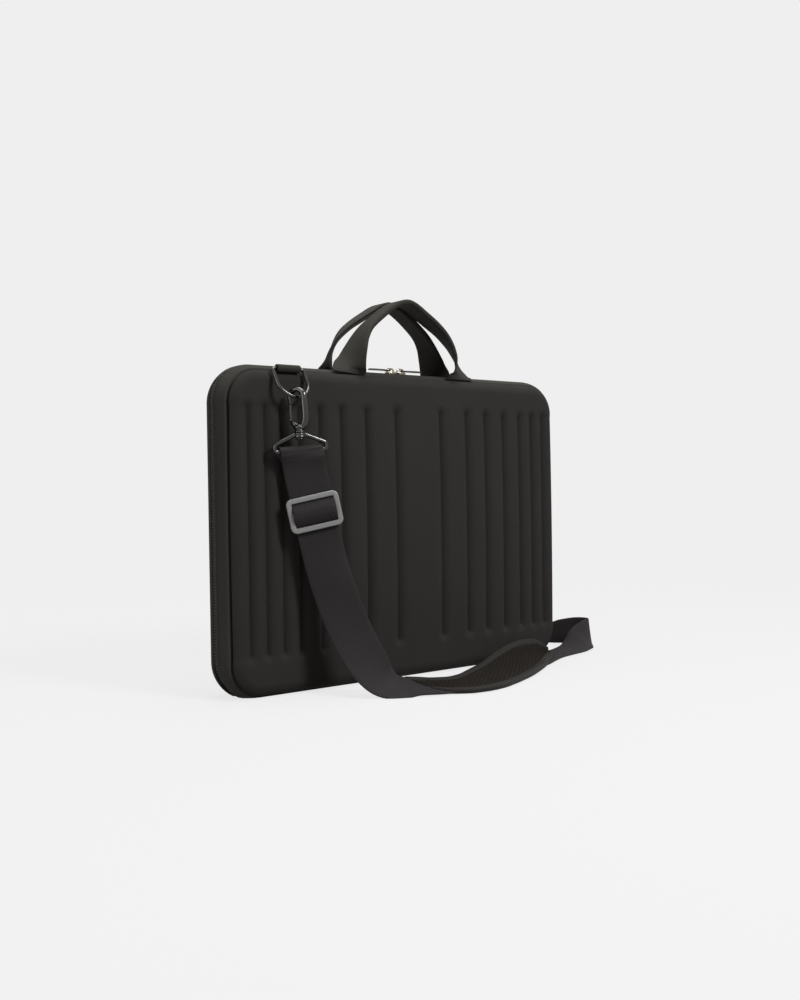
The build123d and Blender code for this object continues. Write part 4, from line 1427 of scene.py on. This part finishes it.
def padMeshPart():
    look = padLook
    angle, tuck = math.radians(look["ribHeading"]), look["meshTuck"]
    rows = []
    for near, across, up, width, sag, nearEdge, farEdge in padRows(22):
        row = []
        for k in range(73):
            share = k / 72
            a = nearEdge - tuck + (width - nearEdge - farEdge + 2 * tuck) * share
            point = near + across * a
            phase = (point.x * math.sin(angle) - point.y * math.cos(angle)) / look["ribPitch"]
            rib = look["ribHeight"] * (0.55 + 0.45 * math.cos(2 * math.pi * phase))
            base = dishHeight(a / width, sag) - look["recess"] + look["meshLift"]
            row.append(point + up * (base + rib * (1 - (2 * share - 1) ** 8)))
        rows.append(row)
    return gridPart(rows)


def padStitches():
    look = padLook
    lines = [], []
    for near, across, up, width, sag, nearEdge, farEdge in padRows(6):
        nearInset = min(look["nearBinding"], width * 0.25) - look["stitchInset"]
        for line, a in zip(lines, (nearInset, width - farEdge + look["stitchInset"])):
            line.append(near + across * a + up * (dishHeight(a / width, sag) + look["stitchLift"]))
    parts = []
    for line in lines:
        reach = 0.0
        for start, end in zip(line, line[1:]):
            span = (end - start).length
            while reach < span:
                first = start.lerp(end, reach / span)
                last = start.lerp(end, min(1.0, (reach + look["stitchLength"]) / span))
                if (last - first).length > 0.001:
                    parts.append(tube([first, (first + last) / 2, last],
                                      [0.00018, 0.00024, 0.00018], 5))
                reach += look["stitchStep"]
            reach -= span
    return joinParts(*parts)


piece = dress("shoulderPadBody", padBodyPart(), "bindingFabric", "pad_mesh", "case_front",
              "shoulder_pad")
piece = dress("shoulderPadFace", padMeshPart(), "meshFabric", "pad_mesh", "case_front")
dress("shoulderPadStitching", padStitches(), "thread", "pad_mesh", "case_front")
print("strap hardware and pad done")


# zip sliders and pulls; a side is -1 for the left one and 1 for the right one
sliderLook = {
    "middleX": 0.0006,
    "gap": 0.0020,
    "length": 0.0104,
    "width": 0.0082,
    "plateZ": 0.2954,
    "plate": 0.0015,
    "lowerDrop": 0.0050,
    "shield": ((-1, 0.55), (-0.82, 0.9), (-0.35, 1.0), (0.3, 0.92), (0.78, 0.72), (1, 0.42)),
    "wedgeReach": 0.0024,
    "wedgeRadius": 0.0016,
    "flangeReach": 0.0032,
    "flangeRadius": 0.0005,
    "bridgeHeight": 0.0039,
    "bridgeRadius": 0.00085,
    "bridge": ((0.0038, 0.55), (0.0028, 0.86), (0.0010, 0.93)),  # from its middle, and its rise
}


def sliderPart(side):
    look = sliderLook
    z, plate = look["plateZ"], look["plate"]
    inner = look["middleX"] + side * look["gap"] / 2
    centre = inner + side * look["length"] / 2
    half, length = look["width"] / 2, look["length"] / 2
    # shield outline: broad towards the wedge, narrower behind
    edge = [(a * length, b * half) for a, b in look["shield"]]
    edge += [(a, -b) for a, b in edge[::-1]]
    outline = catmull(edge + edge[:1], 4)[:-1]

    def plateAt(height, bevel):
        plane = (Vector((centre, 0, height)), Vector((side, 0, 0)), Vector((0, side, 0)))
        return slabSolid(outline, plane, plate, bevel)

    wedgeX = inner + side * look["wedgeReach"]
    wedge = tube([Vector((wedgeX, 0, z - 0.0040)), Vector((wedgeX, 0, z + 0.0005))],
                 look["wedgeRadius"], 10)
    flanges = []
    for y in (0.00055 - half, half - 0.00055):
        line = [(-look["flangeReach"], 0.0002), (0, 0.0005), (look["flangeReach"], 0.0002)]
        flanges.append(tube([Vector((centre + a, y, z - drop)) for a, drop in line],
                            look["flangeRadius"], 8))
    rise = [(a, look["bridgeHeight"] * share) for a, share in look["bridge"]]
    crown = [(-0.0040, 0.0008)] + [(-a, h) for a, h in rise] + rise[::-1] + [(0.0040, 0.0008)]
    arch = smoothCurve([(centre + a, 0, z + plate * 0.7 + h) for a, h in crown], 4)
    bridge = tube(arch, look["bridgeRadius"], 10)
    return joinParts(plateAt(z, 0.00045), plateAt(z - look["lowerDrop"], 0.0004), wedge, bridge,
                     *flanges)


pullLook = {
    "pinZ": 0.2984,
    "pinInset": 0.0040,
    "neck": 0.0046,
    "eyeletHalf": (0.0021, 0.0022),  # at the pin and at the tag
    "eyeletRadius": 0.00065,
    "tagLength": 0.0200,
    "tagWidth": 0.0062,
    "tagCorner": 0.0026,
    "tagThickness": 0.0012,
    "tagMiddle": 0.0103,
    "taper": 0.18,
    "rimRadius": 0.00033,
    "holeReach": 0.0169,
    "hole": ((0.0009, -0.0001), (0.0014, 0.0004), (0.0017, 0.0002), (0.0017, -0.0009),
             (0.0009, -0.0009)),
}


def pullPart(side):
    look = pullLook
    z = look["pinZ"]
    slider = sliderLook["gap"] / 2 + sliderLook["length"]
    pinX = sliderLook["middleX"] + side * (slider - look["pinInset"])
    neck = pinX + side * look["neck"]
    atPin, atTag = look["eyeletHalf"]
    loop = roundedPath([(pinX, -atPin, z), (pinX, atPin, z), (neck + side * 0.001, atTag, z),
                        (neck + side * 0.001, -atTag, z)], 0.0009, 5, closedPath=True)
    eyelet = tube(loop, look["eyeletRadius"], 10, closedPath=True)
    middle = neck + side * look["tagMiddle"]
    outline = [(a, b * (1.0 - look["taper"] * (0.5 - a / look["tagLength"]) ** 1.5)) for a, b
               in roundedSlab(look["tagLength"], look["tagWidth"], look["tagCorner"], 6)]
    plane = (Vector((middle, 0, z - 0.0006)), Vector((side, 0, 0)), Vector((0, side, 0)))
    tag = slabSolid(outline, plane, look["tagThickness"], 0.0003)
    rimPath = [Vector((middle + side * a * 0.93, b * 0.86, z + 0.00055)) for a, b in outline]
    rim = tube(rimPath, look["rimRadius"], 8, closedPath=True)
    hole = lathe(look["hole"], (neck + side * look["holeReach"], 0, z + 0.0004), (0, 0, 1), 20)
    return joinParts(eyelet, tag, rim, hole)


for name, side in (("left", -1), ("right", 1)):
    dress(f"{name}ZipSlider", sliderPart(side), "brightMetal", "bright_metal",
          f"slider_{name}", f"zip_slider_{name}")
    dress(f"{name}ZipPull", pullPart(side), "smokedMetal", "black_metal",
          f"pull_{name}", f"zip_pull_{name}")
print("zip sliders done")


# elastic corners in the rear tray
elasticLook = {
    "width": 0.025,
    "thickness": 0.0014,
    "depth": 0.01125,
    "reach": 0.062,
    "bow": 0.0004,
    "steps": 18,
    "edges": (0.1905, 0.0085, 0.2830),  # the tray's side, bottom and top, just inside its lining
}


def elasticPart(sideX, sideZ):
    look = elasticLook
    side, bottom, top = look["edges"]
    cornerX, cornerZ = sideX * side, top if sideZ > 0 else bottom
    reaches = look["reach"], look["reach"] - look["width"] * math.sqrt(2)
    depth, half = look["depth"], look["thickness"] / 2
    level = [Vector((cornerX - sideX * reach, depth, cornerZ)) for reach in reaches]
    upright = [Vector((cornerX, depth, cornerZ - sideZ * reach)) for reach in reaches]
    rows = []
    for i in range(look["steps"] + 1):
        t = i / look["steps"]
        outer, inner = [a.lerp(b, t) for a, b in zip(level, upright)]
        lift = look["bow"] * math.sin(math.pi * t)
        line = [outer.lerp(inner, j / 8) for j in range(9)]
        rows.append([point - Vector((0, lift + half, 0)) for point in line]
                    + [point - Vector((0, lift - half, 0)) for point in line[::-1]])
    length = (level[0].lerp(level[1], 0.5) - upright[0].lerp(upright[1], 0.5)).length
    return gridPart(rows, closed=True), length


for vertical, sideZ in (("top", 1), ("bottom", -1)):
    for side, sideX in (("left", -1), ("right", 1)):
        part, length = elasticPart(sideX, sideZ)
        name = f"elastic_{vertical}_{side}"
        piece = dress(name + "_band", part, "elasticFabric", "elastic", "case_rear", name)
print("inside done")


# floor, background and light
studio = {
    "background": 0.862,
    "ambient": 0.18,
    "shadowShare": 0.25,
    "paper": 0.32,
    "paperGain": 0.145,  # makes up for the darker paper near the case
    "nearCase": (0.3, 1.3),  # where that paper starts and stops to fade out
    "floorSize": 12.0,
    "aim": (0, 0, 0.16),
    "lamps": {
        "key": {"place": (0.42, -1.75, 1.45), "size": 0.55, "power": 46},
        "fill": {"place": (-2.2, 0.1, 0.8), "size": 1.6, "power": 17},
        "top": {"place": (0.0, 0.0, 2.4), "size": 1.4, "power": 54},
    },
}


def paleRays(tree):
    # 1 for the rays that see the background itself: camera, glossy and transmission
    rays = tree.nodes.new("ShaderNodeLightPath")
    seen = mathNode(tree, "MAXIMUM", rays.outputs["Is Camera Ray"], rays.outputs["Is Glossy Ray"])
    return mathNode(tree, "MAXIMUM", seen, rays.outputs["Is Transmission Ray"])


def buildWorld():
    world = bpy.data.worlds.new("studioWorld")
    scene.world = world
    world.use_nodes = True
    tree = world.node_tree
    background = tree.nodes["Background"]
    seen = paleRays(tree)
    strength = tree.nodes.new("ShaderNodeMix")
    strength.data_type = "FLOAT"
    link(tree, seen, strength.inputs[0])
    strength.inputs[2].default_value = studio["ambient"]
    strength.inputs[3].default_value = studio["background"]
    link(tree, strength.outputs[0], background.inputs["Strength"])
    background.inputs["Color"].default_value = (1, 1, 1, 1)


def buildFloor():
    size = studio["floorSize"] / 2
    corners = [(-size, -size, 0), (size, -size, 0), (size, size, 0), (-size, size, 0)]
    floor = makePiece("studioFloor", (corners, [(0, 1, 2, 3)], None), newMaterial("floorPaper")[0])
    tree = floor.data.materials[0].node_tree
    tree.nodes.clear()
    output = tree.nodes.new("ShaderNodeOutputMaterial")
    paper = tree.nodes.new("ShaderNodeBsdfDiffuse")
    paper.inputs["Color"].default_value = (*[studio["paper"]] * 3, 1)
    glow = tree.nodes.new("ShaderNodeEmission")
    glow.inputs["Color"].default_value = (1, 1, 1, 1)
    distance = tree.nodes.new("ShaderNodeVectorMath")
    distance.operation = "LENGTH"
    link(tree, tree.nodes.new("ShaderNodeTexCoord").outputs["Object"], distance.inputs[0])
    away = tree.nodes.new("ShaderNodeMapRange")
    away.interpolation_type = "SMOOTHSTEP"
    setInputs(away, dict(zip(("From Min", "From Max"), studio["nearCase"])))
    link(tree, distance.outputs["Value"], away.inputs[0])
    near = mathNode(tree, "SUBTRACT", 1.0, away.outputs[0])
    gain = mathNode(tree, "MULTIPLY", near, studio["paperGain"])
    link(tree, mathNode(tree, "ADD", gain, studio["background"]), glow.inputs["Strength"])
    shadow = mathNode(tree, "MULTIPLY", near, studio["shadowShare"])
    share = mathNode(tree, "MULTIPLY", paleRays(tree), mathNode(tree, "SUBTRACT", 1.0, shadow))
    mix = tree.nodes.new("ShaderNodeMixShader")
    link(tree, share, mix.inputs[0])
    link(tree, paper.outputs[0], mix.inputs[1])
    link(tree, glow.outputs[0], mix.inputs[2])
    link(tree, mix.outputs[0], output.inputs["Surface"])


def addLamp(name, settings):
    lamp = bpy.data.lights.new(name, "AREA")
    lamp.shape = "SQUARE"
    lamp.size = settings["size"]
    lamp.energy = settings["power"]
    holder = bpy.data.objects.new(name, lamp)
    place = Vector(settings["place"])
    turn = (Vector(studio["aim"]) - place).to_track_quat("-Z", "Y").to_matrix().to_4x4()
    holder.matrix_world = Matrix.Translation(place) @ turn
    scene.collection.objects.link(holder)


buildWorld()
buildFloor()
for name, settings in studio["lamps"].items():
    addLamp(name + "Softbox", settings)
scene.view_settings.view_transform = "Standard"
print("studio ready")
